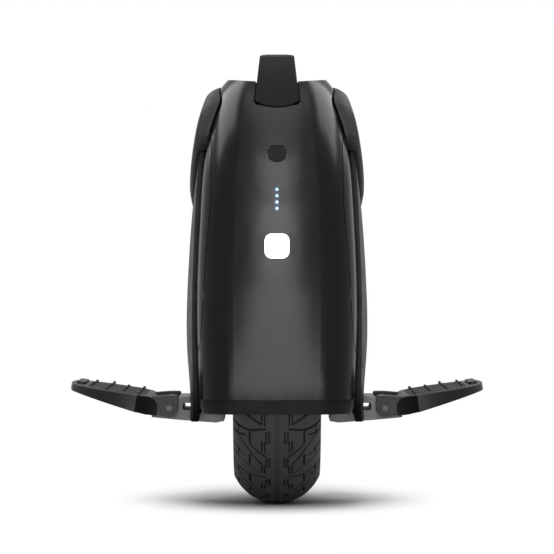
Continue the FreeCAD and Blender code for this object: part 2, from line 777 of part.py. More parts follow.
class Plan:
    """A horizontal section of the body: bowed front and rear, round corners, straight sides."""

    def __init__(self, half_width, half_length, grow):
        self.half_width = half_width + grow
        self.half_length = half_length + grow
        self.corner = CORNER_SHARE * half_width + grow
        self.front = FRONT_RADIUS + grow
        self.centre_x = self.half_width - self.corner
        self.slack = math.sqrt((self.front - self.corner) ** 2 - self.centre_x ** 2)
        self.centre_y = self.half_length - self.front + self.slack

    def side(self, y):
        """Half the width at a distance from the middle."""
        past = abs(y) - self.centre_y
        if past <= 0:
            return self.half_width
        return self.centre_x + math.sqrt(max(self.corner ** 2 - past ** 2, 0))

    def wire(self, z):
        scale = self.front / (self.front - self.corner)
        touch = vec(self.centre_x * scale, self.slack * scale + self.half_length - self.front, 0)
        centre = vec(self.centre_x, self.centre_y, 0)
        middle = centre + ((touch - centre).normalize() + X_AXIS).normalize() * self.corner
        end = vec(self.half_width, self.centre_y, 0)

        def at(point, x_side, y_side):
            return vec(point.x * x_side, point.y * y_side, z)

        return outline(
            at(touch, -1, -1),
            (vec(0, -self.half_length, z), at(touch, 1, -1)),
            (at(middle, 1, -1), at(end, 1, -1)),
            (at(end, 1, 1),),
            (at(middle, 1, 1), at(touch, 1, 1)),
            (vec(0, self.half_length, z), at(touch, -1, 1)),
            (at(middle, -1, 1), at(end, -1, 1)),
            (at(end, -1, -1),),
            (at(middle, -1, -1), at(touch, -1, -1)),
        )


def plan_at(z, grow):
    return Plan(SHELL_WIDTH / 2 * share_at(SHELL_SHARES, z), body_reach(z), grow)


def body_volume(grow, low, top_drop):
    """The body's form grown by a distance, from a height up to its top less a drop."""
    wires = []
    for height, _ in SHELL_SHARES:
        z = body_height(height)
        place = z
        if height == SHELL_SHARES[0][0]:
            place = low
        if height == SHELL_SHARES[-1][0]:
            place = z - top_drop
        wires.append(plan_at(z, grow).wire(place))
    return Part.makeLoft(wires, True, False)


def seam_region(grow):
    """The middle of the body between the two seams, as a prism along Y."""
    half = SHELL_WIDTH / 2
    right = [vec(half * w + grow, 0, body_height(h)) for h, w in SEAM_SHARES]
    left = [vec(-p.x, 0, p.z) for p in right[::-1]]
    return along(polygon(right + left), FAR)


def handle_front(grow):
    """The handle seen from the front: crowned top, flared legs and a rounded foot edge."""
    top = HANDLE_WIDTH / 2 + grow
    foot = HANDLE_FOOT_WIDTH / 2 + grow
    low = HANDLE_FOOT_EDGE - grow
    shoulder = HANDLE_TOP - HANDLE_CROWN - HANDLE_CORNER
    rise = HANDLE_FOOT_ROUND
    inset = HANDLE_CORNER * (1 - math.sqrt(0.5))
    edge = top - HANDLE_CORNER
    return outline(
        vec(-top, 0, shoulder),
        (vec(inset - top, 0, shoulder + HANDLE_CORNER - inset), vec(-edge, 0, shoulder + HANDLE_CORNER)),
        (vec(0, 0, HANDLE_TOP), vec(edge, 0, shoulder + HANDLE_CORNER)),
        (vec(top - inset, 0, shoulder + HANDLE_CORNER - inset), vec(top, 0, shoulder)),
        (vec(foot, 0, low + rise),),
        (vec(0, 0, low), vec(-foot, 0, low + rise)),
        (vec(-top, 0, shoulder),),
    )


def handle_pocket(gap):
    """What the handle's legs take out of the pieces round them, open to the top."""
    legs = along(handle_front(gap), FAR)
    half = HANDLE_WIDTH / 2 + gap
    top = HANDLE_TOP - HANDLE_CROWN - HANDLE_CORNER
    return legs.fuse(box(vec(-half, -FAR, top - OVERRUN), vec(half, FAR, top + FAR)))


def leg_inside():
    """Distance from the middle to the inside of a handle leg at its foot."""
    return body_reach(HANDLE_FOOT_EDGE) - HANDLE_FOOT_LENGTH


def well_hole(grow, low, high):
    half = HAND_WELL_WIDTH / 2 + grow
    reach = leg_inside() - HAND_WELL_LEG_GAP + grow
    return rounded_block(vec(-half, -reach, low), vec(half, reach, high), HAND_WELL_ROUND + grow, Z_AXIS)


def body_shell():
    outer = body_volume(0, BODY_BOTTOM, 0)
    half_top = SHELL_WIDTH / 2 * SHELL_SHARES[-1][1]
    dish_radius = (half_top ** 2 + TOP_DISH ** 2) / (2 * TOP_DISH)
    dish_axis = BODY_TOP - TOP_DISH + dish_radius
    outer = outer.cut(rod(dish_radius, vec(0, -FAR, dish_axis), vec(0, FAR, dish_axis)))
    inner = body_volume(-SHELL_WALL, BODY_BOTTOM - OVERRUN, SHELL_WALL + TOP_DISH)
    return outer.cut(inner)


def side_zone(grow):
    """The flat sides of the body below the seams' lower ends."""
    inside = SHELL_WIDTH / 2 * SIDE_ZONE_SHARE - grow
    reach = SIDE_REACH + grow
    high = body_height(SEAM_SHARES[3][0])
    right = box(vec(inside, -reach, 0), vec(FAR, reach, high))
    return right.fuse(left_of(right))


def front_blank(shell):
    """One end cover, before its openings: the front one, which the rear one mirrors."""
    region = seam_region(-SEAM_GAP / 2).cut(side_zone(SEAM_GAP / 2))
    keep = box(vec(-FAR, -FAR, FRONT_BOTTOM), vec(FAR, -SEAM_GAP / 2, HANDLE_TOP))
    cover = shell.common(region).common(keep)
    screws = side_screw_rods(SIDE_SCREW_RADIUS + SCREW_GAP, 0, SIDE_WIDTH)
    cuts = screws + [left_of(screw) for screw in screws]
    cuts += [handle_pocket(POCKET_GAP), well_hole(SEAT_GAP, HAND_WELL_FLOOR - OVERRUN, HANDLE_TOP)]
    return cover.cut(cuts)


def surface_frame(height):
    """The point and outward direction on the front's middle line at a height."""
    radius = UPPER_ARC if height > WAIST_HEIGHT else LOWER_ARC
    lean = math.asin((height - WAIST_HEIGHT) / radius)
    point = vec(0, -body_reach(height), height)
    return point, vec(0, -math.cos(lean), math.sin(lean))


def light_heights():
    return [LIGHT_LOWEST + LIGHT_PITCH * i for i in range(LIGHT_COUNT)]


def board_heights():
    low = BUTTON_HEIGHT - BUTTON_SIZE / 2 - BOARD_MARGIN
    high = light_heights()[-1] + BOARD_MARGIN
    return low, high


def board_bosses(cover_inside):
    low, high = board_heights()
    face = -BOARD_BACK - BOARD_THICKNESS
    bosses = []
    for x in (-1, 1):
        for z in (low + BOSS_RADIUS, high - BOSS_RADIUS):
            place = x * (BOARD_WIDTH / 2 - BOSS_RADIUS)
            boss = rod(BOSS_RADIUS, vec(place, face, z), vec(place, -body_reach(z), z))
            bosses.append(boss.common(cover_inside))
    return bosses


def cap_pin_line():
    """The middle of the cap's hinge pin."""
    point, out = surface_frame(CAP_HEIGHT)
    up = out.cross(X_AXIS)
    return point - out * (CAP_THICKNESS / 2) + up * (CAP_DIAMETER / 2 - CAP_PIN_SETBACK)


def cap_relief_half():
    """Half the width of the cap where its face leaves the cover as it swings up, with its gap."""
    radius = CAP_DIAMETER / 2
    drop = radius - CAP_PIN_SETBACK - CAP_THICKNESS / 2
    return math.sqrt(radius * radius - drop * drop) + CAP_GAP / 2


def cap_pin_rod(radius, half):
    middle = cap_pin_line()
    return rod(radius, middle - X_AXIS * half, middle + X_AXIS * half)


def cap_pin(radius, extra):
    return cap_pin_rod(radius, cap_relief_half() + CAP_PIN_REACH + extra)


def cap_relief():
    """The trough round the pin that the cap's upper corners swing through."""
    return cap_pin_rod(math.hypot(CAP_THICKNESS, CAP_THICKNESS) / 2 + CAP_GAP / 2, cap_relief_half())


def button_block(grow, front, back):
    half = BUTTON_SIZE / 2 + grow
    low = vec(-half, front, BUTTON_HEIGHT - half)
    return rounded_block(low, vec(half, back, BUTTON_HEIGHT + half), BUTTON_ROUND + grow, Y_AXIS)


def front_cover(blank):
    point, out = surface_frame(CAP_HEIGHT)
    port = rod(CAP_DIAMETER / 2 + CAP_GAP, point - out * SOCKET_SETBACK * 2, point + out * OVERRUN)
    cuts = [port, cap_relief(), cap_pin(CAP_PIN_RADIUS + RUN_GAP, RUN_GAP)]
    cuts.append(button_block(BUTTON_GAP, -FAR, -BOARD_BACK - BOARD_THICKNESS))
    for z in light_heights():
        cuts.append(rod(LIGHT_RADIUS + SCREW_GAP, vec(0, -FAR, z), vec(0, -BOARD_BACK, z)))
    inside = body_volume(-SHELL_WALL / 2, BODY_BOTTOM, SHELL_WALL)
    return blank.fuse(board_bosses(inside)).cut(cuts)


def charge_port_cap():
    point, out = surface_frame(CAP_HEIGHT)
    disc_part = rod(CAP_DIAMETER / 2, point - out * CAP_THICKNESS, point)
    return disc_part.cut(cap_pin(CAP_PIN_RADIUS + RUN_GAP, OVERRUN))


def charge_socket():
    """The socket behind the cap: a flange on the cover's inside, a bore and three contact holes."""
    point, out = surface_frame(CAP_HEIGHT)
    mouth = point - out * SOCKET_SETBACK
    back = point - out * SOCKET_DEPTH
    body = rod(SOCKET_BORE / 2 + SOCKET_WALL, back, mouth)
    flange = rod(SOCKET_FLANGE / 2, mouth - out * SOCKET_FLANGE_THICKNESS, mouth)
    body = body.fuse(flange).removeSplitter()
    floor = mouth - out * SOCKET_BORE_DEPTH
    cuts = [rod(SOCKET_BORE / 2, floor, mouth + out * OVERRUN)]
    contact = rod(CONTACT_RADIUS, back + out * SOCKET_WALL, floor + out * OVERRUN)
    up = out.cross(X_AXIS) * CONTACT_CIRCLE
    for i in range(CONTACT_COUNT):
        cuts.append(contact.translated(up).rotated(point, out, FULL_TURN / CONTACT_COUNT * i))
    return body.cut(cuts)


def power_button():
    front = -body_reach(BUTTON_HEIGHT) - BUTTON_PROUD
    block = button_block(0, front, front + BUTTON_DEPTH)
    face_edges = [e for e in block.Edges if e.BoundBox.YMax < front + BUTTON_PROUD / 2]
    return block.makeFillet(BUTTON_PROUD / 2, face_edges)


def power_switch():
    back = -body_reach(BUTTON_HEIGHT) - BUTTON_PROUD + BUTTON_DEPTH
    face = -BOARD_BACK - BOARD_THICKNESS
    half = BUTTON_SIZE / 4
    rest = back + BUTTON_TRAVEL + SEAT_GAP
    plunger = rod(half / 2, vec(0, rest, BUTTON_HEIGHT), vec(0, face, BUTTON_HEIGHT))
    middle = (back + BUTTON_TRAVEL + face) / 2
    body = box(vec(-half, middle, BUTTON_HEIGHT - half), vec(half, face, BUTTON_HEIGHT + half))
    return body.fuse(plunger).removeSplitter()


def indicator_lights():
    lights = []
    for z in light_heights():
        face = -body_reach(z + LIGHT_RADIUS)
        lights.append(rod(LIGHT_RADIUS, vec(0, face, z), vec(0, -BOARD_BACK - BOARD_THICKNESS, z)))
    return group(lights)


def control_board():
    low, high = board_heights()
    half = BOARD_WIDTH / 2
    return box(vec(-half, -BOARD_BACK - BOARD_THICKNESS, low), vec(half, -BOARD_BACK, high))


def lamp_depth():
    """Depth of the lamp board's face, just clear of the bowed cover's inside at the board's ends."""
    half = LAMP_WIDTH / 2 + LAMP_FLANGE
    bow = FRONT_RADIUS - math.sqrt(FRONT_RADIUS ** 2 - half ** 2)
    return bow + SHELL_WALL + SEAT_GAP


def lamp_block(grow, shallow, deep):
    """A rounded bar in the rear cover between two depths, square to the surface there."""
    point, out = surface_frame(LAMP_HEIGHT)
    half_width = LAMP_WIDTH / 2 + grow
    half_tall = LAMP_TALL / 2 + grow
    low = vec(-half_width, shallow, -half_tall)
    block = rounded_block(low, vec(half_width, deep, half_tall), half_tall / 2, Y_AXIS)
    lean = math.degrees(math.asin(out.z))
    return rear_of(block.rotated(ORIGIN, X_AXIS, -lean).translated(point))


def rear_cover(blank):
    return rear_of(blank).cut(lamp_block(LAMP_GAP, -OVERRUN, lamp_depth()))


def rear_lamp_lens():
    plug = lamp_block(0, -OVERRUN, lamp_depth())
    return plug.common(body_volume(-SEAT_GAP, BODY_BOTTOM, 0))


def rear_lamp_board():
    return lamp_block(LAMP_FLANGE, lamp_depth(), lamp_depth() + LAMP_BOARD_THICKNESS)


# Side shells, covers and pads
def side_outline(inset):
    """The side cover's outline seen from the side, as a prism along X with round corners."""
    low = SIDE_COVER_BOTTOM + inset
    high = SIDE_COVER_TOP - inset

    def at(z, side):
        return vec(0, side * (body_reach(z) - SIDE_MARGIN - inset), z)

    lower = (low + WAIST_HEIGHT) / 2
    upper = (high + WAIST_HEIGHT) / 2
    wire = outline(
        at(low, -1),
        (at(lower, -1), at(WAIST_HEIGHT, -1)),
        (at(upper, -1), at(high, -1)),
        (at(high, 1),),
        (at(upper, 1), at(WAIST_HEIGHT, 1)),
        (at(lower, 1), at(low, 1)),
        (at(low, -1),),
    )
    block = prism(wire, ORIGIN, vec(SIDE_WIDTH, 0, 0))

    def corners(z):
        flat = [e for e in block.Edges if e.BoundBox.ZLength < SEAT_GAP and e.BoundBox.YLength < SEAT_GAP]
        return [e for e in flat if abs(e.BoundBox.Center.z - z) < SEAT_GAP]

    block = block.makeFillet(SIDE_COVER_LOWER_CORNER - inset, corners(low))
    return block.makeFillet(SIDE_COVER_UPPER_CORNER - inset, corners(high))


def cover_half(z):
    return SIDE_WIDTH / 2 * share_at(SIDE_SHARES, z)


def cover_edge(z):
    return SHELL_WIDTH / 2 * share_at(SHELL_SHARES, z) + SIDE_COVER_GAP + SIDE_COVER_EDGE


def cover_volume(grow):
    """The right side cover's bulged form, grown by a distance."""
    wires = []
    for height, _ in SIDE_SHARES:
        z = body_height(height)
        place = z - OVERRUN if height == SIDE_SHARES[0][0] else z
        edge = cover_edge(z) + grow
        inside = SHELL_WIDTH / 4
        wires.append(outline(
            vec(inside, -SIDE_REACH, place),
            (vec(edge, -SIDE_REACH, place),),
            (vec(cover_half(z) + grow, 0, place), vec(edge, SIDE_REACH, place)),
            (vec(inside, SIDE_REACH, place),),
            (vec(inside, -SIDE_REACH, place),),
        ))
    return Part.makeLoft(wires, True, False)


def hanger_notch():
    """Room in the side shells and covers for a hanger's foot."""
    reach = HANGER_FOOT_LENGTH / 2 + HANGER_NOTCH_GAP
    return box(vec(0, -reach, 0), vec(SIDE_WIDTH, reach, FOOT_TOP + HANGER_NOTCH_GAP))


def side_shell(shell):
    """The right side shell: the strips beside the seams and the rails round the side opening."""
    region = seam_region(SEAM_GAP / 2)
    upper = shell.cut(region)
    lower = shell.common(side_zone(-SEAM_GAP / 2))
    keep = box(vec(0, -FAR, 0), vec(SIDE_WIDTH, FAR, HANDLE_TOP))
    whole = upper.fuse(lower).removeSplitter().common(keep)
    below = box(vec(0, -FAR, 0), vec(SIDE_WIDTH, FAR, FRONT_BOTTOM))
    cuts = [side_outline(SIDE_OPENING_INSET), hanger_notch(), below]
    cuts += side_screw_rods(SIDE_SCREW_RADIUS + SCREW_GAP, 0, SIDE_WIDTH)
    return whole.cut(cuts)


def screw_spots():
    """Places of the side cover's screws: two low down in sight, two under the pad."""
    spots = []
    for share in SIDE_SCREW_HEIGHT_SHARES:
        z = body_height(share)
        y = body_reach(z) - SIDE_MARGIN - SIDE_SCREW_INSET
        spots += [(-y, z), (y, z)]
    return spots


def side_screw_rods(radius, low, high):
    return [rod(radius, vec(low, y, z), vec(high, y, z)) for y, z in screw_spots()]


def screw_seat(y, z):
    """Distance from the middle plane to the face under a side screw's head."""
    return flank(y, z) - SIDE_SCREW_HEAD_HEIGHT - SIDE_SCREW_SINK


def side_cover():
    """The right side cover: a bulged dish on a narrow rim that leaves a dark gap round its edge."""
    inner_inset = SIDE_RIM_INSET + SIDE_RIM_WALL
    shell_gap = body_volume(SEAT_GAP, BODY_BOTTOM - OVERRUN, 0)
    dish = cover_volume(0).common(side_outline(0))
    rim_part = side_outline(SIDE_RIM_INSET).cut(side_outline(inner_inset))
    rim_part = rim_part.common(body_volume(SIDE_COVER_GAP + SIDE_COVER_WALL, BODY_BOTTOM - OVERRUN, 0))
    hollow = cover_volume(-SIDE_COVER_WALL).common(side_outline(inner_inset))
    form = cover_volume(-SIDE_COVER_WALL / 2)
    bosses = [boss.common(form).cut(shell_gap) for boss in side_screw_rods(SIDE_SCREW_BOSS, 0, SIDE_WIDTH)]
    dish = dish.cut(body_volume(SIDE_COVER_GAP, BODY_BOTTOM - OVERRUN, 0))
    whole = dish.fuse(rim_part.cut(shell_gap)).cut(hollow).fuse(bosses)
    cuts = [hanger_notch()] + side_screw_rods(SIDE_SCREW_RADIUS + SCREW_GAP, 0, SIDE_WIDTH)
    for y, z in screw_spots():
        seat = screw_seat(y, z)
        cuts.append(rod(SIDE_SCREW_HEAD + SCREW_GAP, vec(seat, y, z), vec(SIDE_WIDTH, y, z)))
    return whole.cut(cuts).removeSplitter()


def side_cover_screws():
    screws = []
    for y, z in screw_spots():
        seat = screw_seat(y, z)
        inside = plan_at(z, 0).side(y) - SHELL_WALL - SIDE_SCREW_RADIUS
        shank = rod(SIDE_SCREW_RADIUS, vec(inside, y, z), vec(seat, y, z))
        head = rod(SIDE_SCREW_HEAD, vec(seat, y, z), vec(seat + SIDE_SCREW_HEAD_HEIGHT, y, z))
        screws.append(shank.fuse(head))
    return group(screws + [left_of(screw) for screw in screws])


def flank(y, z):
    """Distance from the middle plane to the outer face of the side, cover or shell, at a place."""
    shell = plan_at(z, 0).side(y)
    if abs(y) > body_reach(z) - SIDE_MARGIN or z > SIDE_COVER_TOP:
        return shell
    rise = cover_half(z) - cover_edge(z)
    return max(shell, cover_half(z) - rise * (y / SIDE_REACH) ** 2)


def pad_wire(share, low_share, high_share, fullness, side):
    y = share * PAD_HALF_LENGTH * side
    height = PAD_TOP - PAD_BOTTOM
    low = PAD_BOTTOM + low_share * height
    high = PAD_BOTTOM + high_share * height
    crown = low + PAD_CROWN_HEIGHT_SHARE * (high - low)
    bottom = vec(flank(y, low) + PAD_EDGE, y, low)
    top = vec(flank(y, high) + PAD_EDGE, y, high)
    chord = bottom.x + PAD_CROWN_HEIGHT_SHARE * (top.x - bottom.x)
    middle = vec(max(flank(y, crown) + PAD_THICKNESS * fullness, chord + PAD_EDGE), y, crown)
    return outline(
        vec(bottom.x - PAD_ROOT, y, low),
        (bottom,),
        (middle, top),
        (vec(top.x - PAD_ROOT, y, high),),
        (vec(bottom.x - PAD_ROOT, y, low),),
    )


def leg_pad():
    """The right leg pad: a crowned cushion that thins to its edges, lying on the cover and the shell."""
    front = [pad_wire(*row, -1) for row in PAD_SHARES[::-1]]
    rear = [pad_wire(*row, 1) for row in PAD_SHARES[1:]]
    cushion = Part.makeLoft(front + rear, True, False)
    under_cover = cover_volume(SEAT_GAP).common(side_outline(-SEAT_GAP))
    return cushion.cut([under_cover, body_volume(SEAT_GAP, BODY_BOTTOM, 0)])


# Wheel well, handle and hand well
def skirt():
    """The band that shows under the front cover's lower edge, with the floor that ties it to the well."""
    outer = body_volume(-SHELL_WALL - SEAT_GAP, BODY_BOTTOM - OVERRUN, SHELL_WALL)
    inner = body_volume(-SHELL_WALL - SEAT_GAP - SKIRT_WALL, BODY_BOTTOM - 2 * OVERRUN, SHELL_WALL)
    high = box(vec(-FAR, -FAR, WELL_BOTTOM), vec(FAR, -SIDE_REACH - SEAM_GAP, WELL_BOTTOM + SKIRT_HEIGHT))
    band = outer.cut(inner).common(high)
    plate = box(vec(-FAR, -FAR, WELL_BOTTOM), vec(FAR, -SIDE_REACH - SEAM_GAP, WELL_BOTTOM + SKIRT_FLOOR))
    return band.fuse(outer.common(plate))


def post_middle():
    return leg_inside() + HANDLE_FOOT_LENGTH / 2


def handle_post():
    """A post on the well's crown, forked for the front handle tongue."""
    half = POST_WIDTH / 2
    middle = -post_middle()
    low = vec(-half, middle - POST_LENGTH / 2, AXLE_HEIGHT)
    block = box(low, vec(half, middle + POST_LENGTH / 2, HANDLE_FOOT_BOTTOM))
    fork = TONGUE_WIDTH / 2 + SEAT_GAP
    floor = HANDLE_FOOT_BOTTOM - TONGUE_DEPTH - SEAT_GAP
    slot = box(vec(-fork, -FAR, floor), vec(fork, 0, HANDLE_TOP))
    return block.cut([slot, handle_bolt(HANDLE_BOLT_RADIUS + SCREW_GAP, OVERRUN)])


def handle_bolt(radius, extra):
    height = HANDLE_FOOT_BOTTOM - TONGUE_DEPTH / 2
    half = POST_WIDTH / 2 + extra
    return rod(radius, vec(-half, -post_middle(), height), vec(half, -post_middle(), height))


def handle_bolts():
    bolt = handle_bolt(HANDLE_BOLT_RADIUS, 0)
    height = HANDLE_FOOT_BOTTOM - TONGUE_DEPTH / 2
    for side in (-1, 1):
        start = vec(side * POST_WIDTH / 2, -post_middle(), height)
        bolt = bolt.fuse(rod(HANDLE_BOLT_HEAD, start, start + vec(side * HANDLE_BOLT_HEAD_HEIGHT, 0, 0)))
    return group([bolt, rear_of(bolt)])


def wheel_well():
    solid = disc(WELL_OUTER, -WELL_SIDE, WELL_SIDE)
    hollow = disc(WELL_RADIUS, -WELL_HALF, WELL_HALF)
    front_skirt = skirt()
    post = handle_post()
    solid = solid.fuse([front_skirt, rear_of(front_skirt), post, rear_of(post)])
    below = box(vec(-FAR, -FAR, -FAR), vec(FAR, FAR, WELL_BOTTOM))
    slot_half = AXLE_SLOT_WIDTH / 2
    slot = box(vec(-FAR, -slot_half, 0), vec(FAR, slot_half, AXLE_HEIGHT))
    bearing_hole = disc(slot_half, -FAR, FAR)
    right = hanger_bolt_rods(HANGER_BOLT_RADIUS + SCREW_GAP, WELL_HALF - OVERRUN, WELL_SIDE + OVERRUN)
    bolts = right + [left_of(hole) for hole in right]
    return solid.cut([hollow, below, slot, bearing_hole] + bolts).removeSplitter()


def bend_start():
    """Height at which the inside of a handle leg starts to bend into the grip."""
    return HANDLE_TOP - HANDLE_THICKNESS - HANDLE_UNDER_DROP - HANDLE_INNER_ROUND


def handle():
    """An arched bar: two legs in their pockets, tied by a crowned grip."""
    foot_out = body_reach(HANDLE_FOOT_EDGE)
    foot_in = leg_inside()
    shoulder = HANDLE_TOP - HANDLE_SHOULDER_DROP
    mid_z = (HANDLE_FOOT_EDGE + shoulder) / 2
    mid_y = (foot_out + HANDLE_SHOULDER_REACH) / 2 + HANDLE_LEG_BULGE
    under = HANDLE_TOP - HANDLE_THICKNESS
    root = HANDLE_INNER_ROUND
    bend = root * (1 - math.sqrt(0.5))
    drop = HANDLE_UNDER_DROP

    def at(y, z):
        return vec(0, y, z)

    wire = outline(
        at(-foot_out, HANDLE_FOOT_BOTTOM),
        (at(-foot_out, HANDLE_FOOT_EDGE),),
        (at(-mid_y, mid_z), at(-HANDLE_SHOULDER_REACH, shoulder)),
        (at(0, HANDLE_TOP), at(HANDLE_SHOULDER_REACH, shoulder)),
        (at(mid_y, mid_z), at(foot_out, HANDLE_FOOT_EDGE)),
        (at(foot_out, HANDLE_FOOT_BOTTOM),),
        (at(foot_in, HANDLE_FOOT_BOTTOM),),
        (at(foot_in, bend_start()),),
        (at(foot_in - bend, under - drop - bend), at(foot_in - root, under - drop)),
        (at(0, under), at(root - foot_in, under - drop)),
        (at(bend - foot_in, under - drop - bend), at(-foot_in, bend_start())),
        (at(-foot_in, HANDLE_FOOT_BOTTOM),),
        (at(-foot_out, HANDLE_FOOT_BOTTOM),),
    )
    arch = across(wire, HANDLE_FOOT_WIDTH)
    bar = arch.common(along(handle_front(0), FAR))
    grip = [e for e in bar.Edges if abs(e.BoundBox.ZMax - under) < SEAT_GAP and e.BoundBox.XLength < OVERRUN]
    bar = bar.makeFillet(HANDLE_GRIP_ROUND, grip)
    root_block = foot_block()
    return bar.fuse([root_block, rear_of(root_block)]).removeSplitter()


def foot_block():
    """The root of the front leg below its visible edge, with the tongue that the post holds."""
    half = POST_WIDTH / 2
    middle = -post_middle()
    reach = POST_LENGTH / 2
    top = HANDLE_FOOT_EDGE + OVERRUN
    block = box(vec(-half, middle - reach, HANDLE_FOOT_BOTTOM), vec(half, middle + reach, top))
    tongue_half = TONGUE_WIDTH / 2
    low = HANDLE_FOOT_BOTTOM - TONGUE_DEPTH
    near = vec(-tongue_half, middle - reach, low)
    tongue = box(near, vec(tongue_half, middle + reach, HANDLE_FOOT_BOTTOM))
    return block.fuse(tongue).cut(handle_bolt(HANDLE_BOLT_RADIUS + SCREW_GAP, OVERRUN))


def hand_well_tray():
    """The pan under the grip, with a flange that bears on the covers from inside."""
    under = BODY_TOP - SHELL_WALL - TOP_DISH - SEAT_GAP
    rim_top = BODY_TOP - TOP_DISH
    pan = well_hole(0, HAND_WELL_FLOOR, rim_top)
    flange = well_hole(HAND_WELL_FLANGE, under - HAND_WELL_WALL, under)
    hollow = well_hole(-HAND_WELL_WALL, HAND_WELL_FLOOR + HAND_WELL_WALL, BODY_TOP + OVERRUN)
    legs = box(vec(-FAR, -FAR, HAND_WELL_FLOOR), vec(FAR, -leg_inside(), HANDLE_TOP))
    bends = box(vec(-FAR, -FAR, bend_start()), vec(FAR, HANDLE_INNER_ROUND - leg_inside(), HANDLE_TOP))
    clear = handle_pocket(SEAT_GAP).common(legs.fuse(bends))
    return pan.fuse(flange).cut([hollow, clear, rear_of(clear)]).removeSplitter()


# Hangers and pedals
def hanger_bolt_rods(radius, low, high):
    rods = []
    depth = AXLE_HEIGHT - FOOT_TOP
    for y_share, z_share in HANGER_BOLT_SHARES:
        for side in (-1, 1):
            y = side * y_share * HANGER_FOOT_LENGTH / 2
            z = AXLE_HEIGHT - z_share * depth
            rods.append(rod(radius, vec(low, y, z), vec(high, y, z)))
    return rods


def pedal_point(u, v):
    """A place in the pedal's own tilted frame: u outward from the pivot and v up from it."""
    tilt = math.radians(PEDAL_TILT)
    x = PIVOT_OFFSET + u * math.cos(tilt) - v * math.sin(tilt)
    return vec(x, 0, PIVOT_HEIGHT + u * math.sin(tilt) + v * math.cos(tilt))


def hanger():
    """The right hanger: a clamp on the axle, a leg, and a foot with a window, a barrel and a stop lip."""
    foot_low = PIVOT_HEIGHT - HANGER_FOOT_DROP
    sole = PIVOT_HEIGHT - HANGER_SOLE_DROP
    stop = -PEDAL_SOLE - SEAT_GAP
    profile = polygon([
        vec(HANGER_INNER, 0, AXLE_HEIGHT + HANGER_BOSS),
        vec(HANGER_INNER, 0, foot_low),
        vec(HANGER_INNER + HANGER_KEEL_OFFSET, 0, PIVOT_HEIGHT - HANGER_KEEL_DROP),
        vec(PIVOT_OFFSET - WINDOW_OFFSET, 0, sole - LIP_THICKNESS / 2),
        pedal_point(LIP_REACH, stop - LIP_THICKNESS),
        pedal_point(LIP_REACH, stop),
        pedal_point(0, stop),
        vec(PIVOT_OFFSET, 0, PIVOT_HEIGHT),
        vec(PIVOT_OFFSET - BARREL_RADIUS, 0, FOOT_TOP),
        vec(HANGER_OUTER, 0, FOOT_TOP),
        vec(HANGER_OUTER, 0, AXLE_HEIGHT + HANGER_BOSS),
    ])
    half = HANGER_FOOT_LENGTH / 2
    blank = along(profile, half)
    taper = AXLE_HEIGHT - HANGER_TAPER_TOP
    side = outline(
        vec(0, -HANGER_BOSS, AXLE_HEIGHT),
        (vec(0, 0, AXLE_HEIGHT + HANGER_BOSS), vec(0, HANGER_BOSS, AXLE_HEIGHT)),
        (vec(0, HANGER_BOSS, taper),),
        (vec(0, half, FOOT_TOP),),
        (vec(0, half, 0),),
        (vec(0, -half, 0),),
        (vec(0, -half, FOOT_TOP),),
        (vec(0, -HANGER_BOSS, taper),),
        (vec(0, -HANGER_BOSS, AXLE_HEIGHT),),
    )
    blank = blank.common(across(side, FAR))
    blank = blank.fuse(rod(BARREL_RADIUS, PIVOT - Y_AXIS * half, PIVOT + Y_AXIS * half)).removeSplitter()
    window_out = PIVOT_OFFSET - WINDOW_OFFSET
    window_low = PIVOT_HEIGHT + WINDOW_RISE - WINDOW_TALL / 2
    window = rounded_block(
        vec(window_out - WINDOW_WIDTH, -FAR, window_low),
        vec(window_out, FAR, window_low + WINDOW_TALL),
        WINDOW_TALL / 4, Y_AXIS,
    )
    cuts = [window, axle_blank(SCREW_GAP), pin_rod(PIN_DIAMETER / 2 + RUN_GAP, OVERRUN)]
    cuts += hanger_bolt_rods(HANGER_BOLT_RADIUS + SCREW_GAP, 0, HANGER_OUTER + OVERRUN)
    return blank.cut(cuts)


def hanger_bolts():
    bolts = []
    shanks = hanger_bolt_rods(HANGER_BOLT_RADIUS, WELL_HALF, HANGER_OUTER)
    heads = hanger_bolt_rods(HANGER_BOLT_HEAD, HANGER_OUTER, HANGER_OUTER + HANGER_BOLT_HEAD_HEIGHT)
    for shank, head in zip(shanks, heads):
        bolts.append(shank.fuse(head))
    return group(bolts + [left_of(bolt) for bolt in bolts])


def lug_end():
    """Distance from the middle to the outer face of a pedal's lug."""
    return HANGER_FOOT_LENGTH / 2 + LUG_GAP + LUG_WIDTH


def pin_rod(radius, extra):
    half = lug_end() - PIN_RECESS + extra
    return rod(radius, PIVOT - Y_AXIS * half, PIVOT + Y_AXIS * half)


def pedal_pin():
    """The hinge pin, with a hexagon socket in each end."""
    half = lug_end() - PIN_RECESS
    corner = PIN_SOCKET_WIDTH / 2 / math.cos(math.pi / 6)
    first = PIVOT + vec(corner, 0, 0)
    hexagon = polygon([turned(first, PIVOT, Y_AXIS, i) for i in range(6)])
    socket = prism(hexagon, vec(0, -half - OVERRUN, 0), vec(0, OVERRUN + PIN_SOCKET_DEPTH, 0))
    return pin_rod(PIN_DIAMETER / 2, 0).cut([socket, rear_of(socket)])


def flat(u, v):
    """A place in the pedal's frame before it is tilted."""
    return PIVOT + vec(u, 0, v)


def tilted(shape):
    return shape.rotated(PIVOT, Y_AXIS, -PEDAL_TILT)


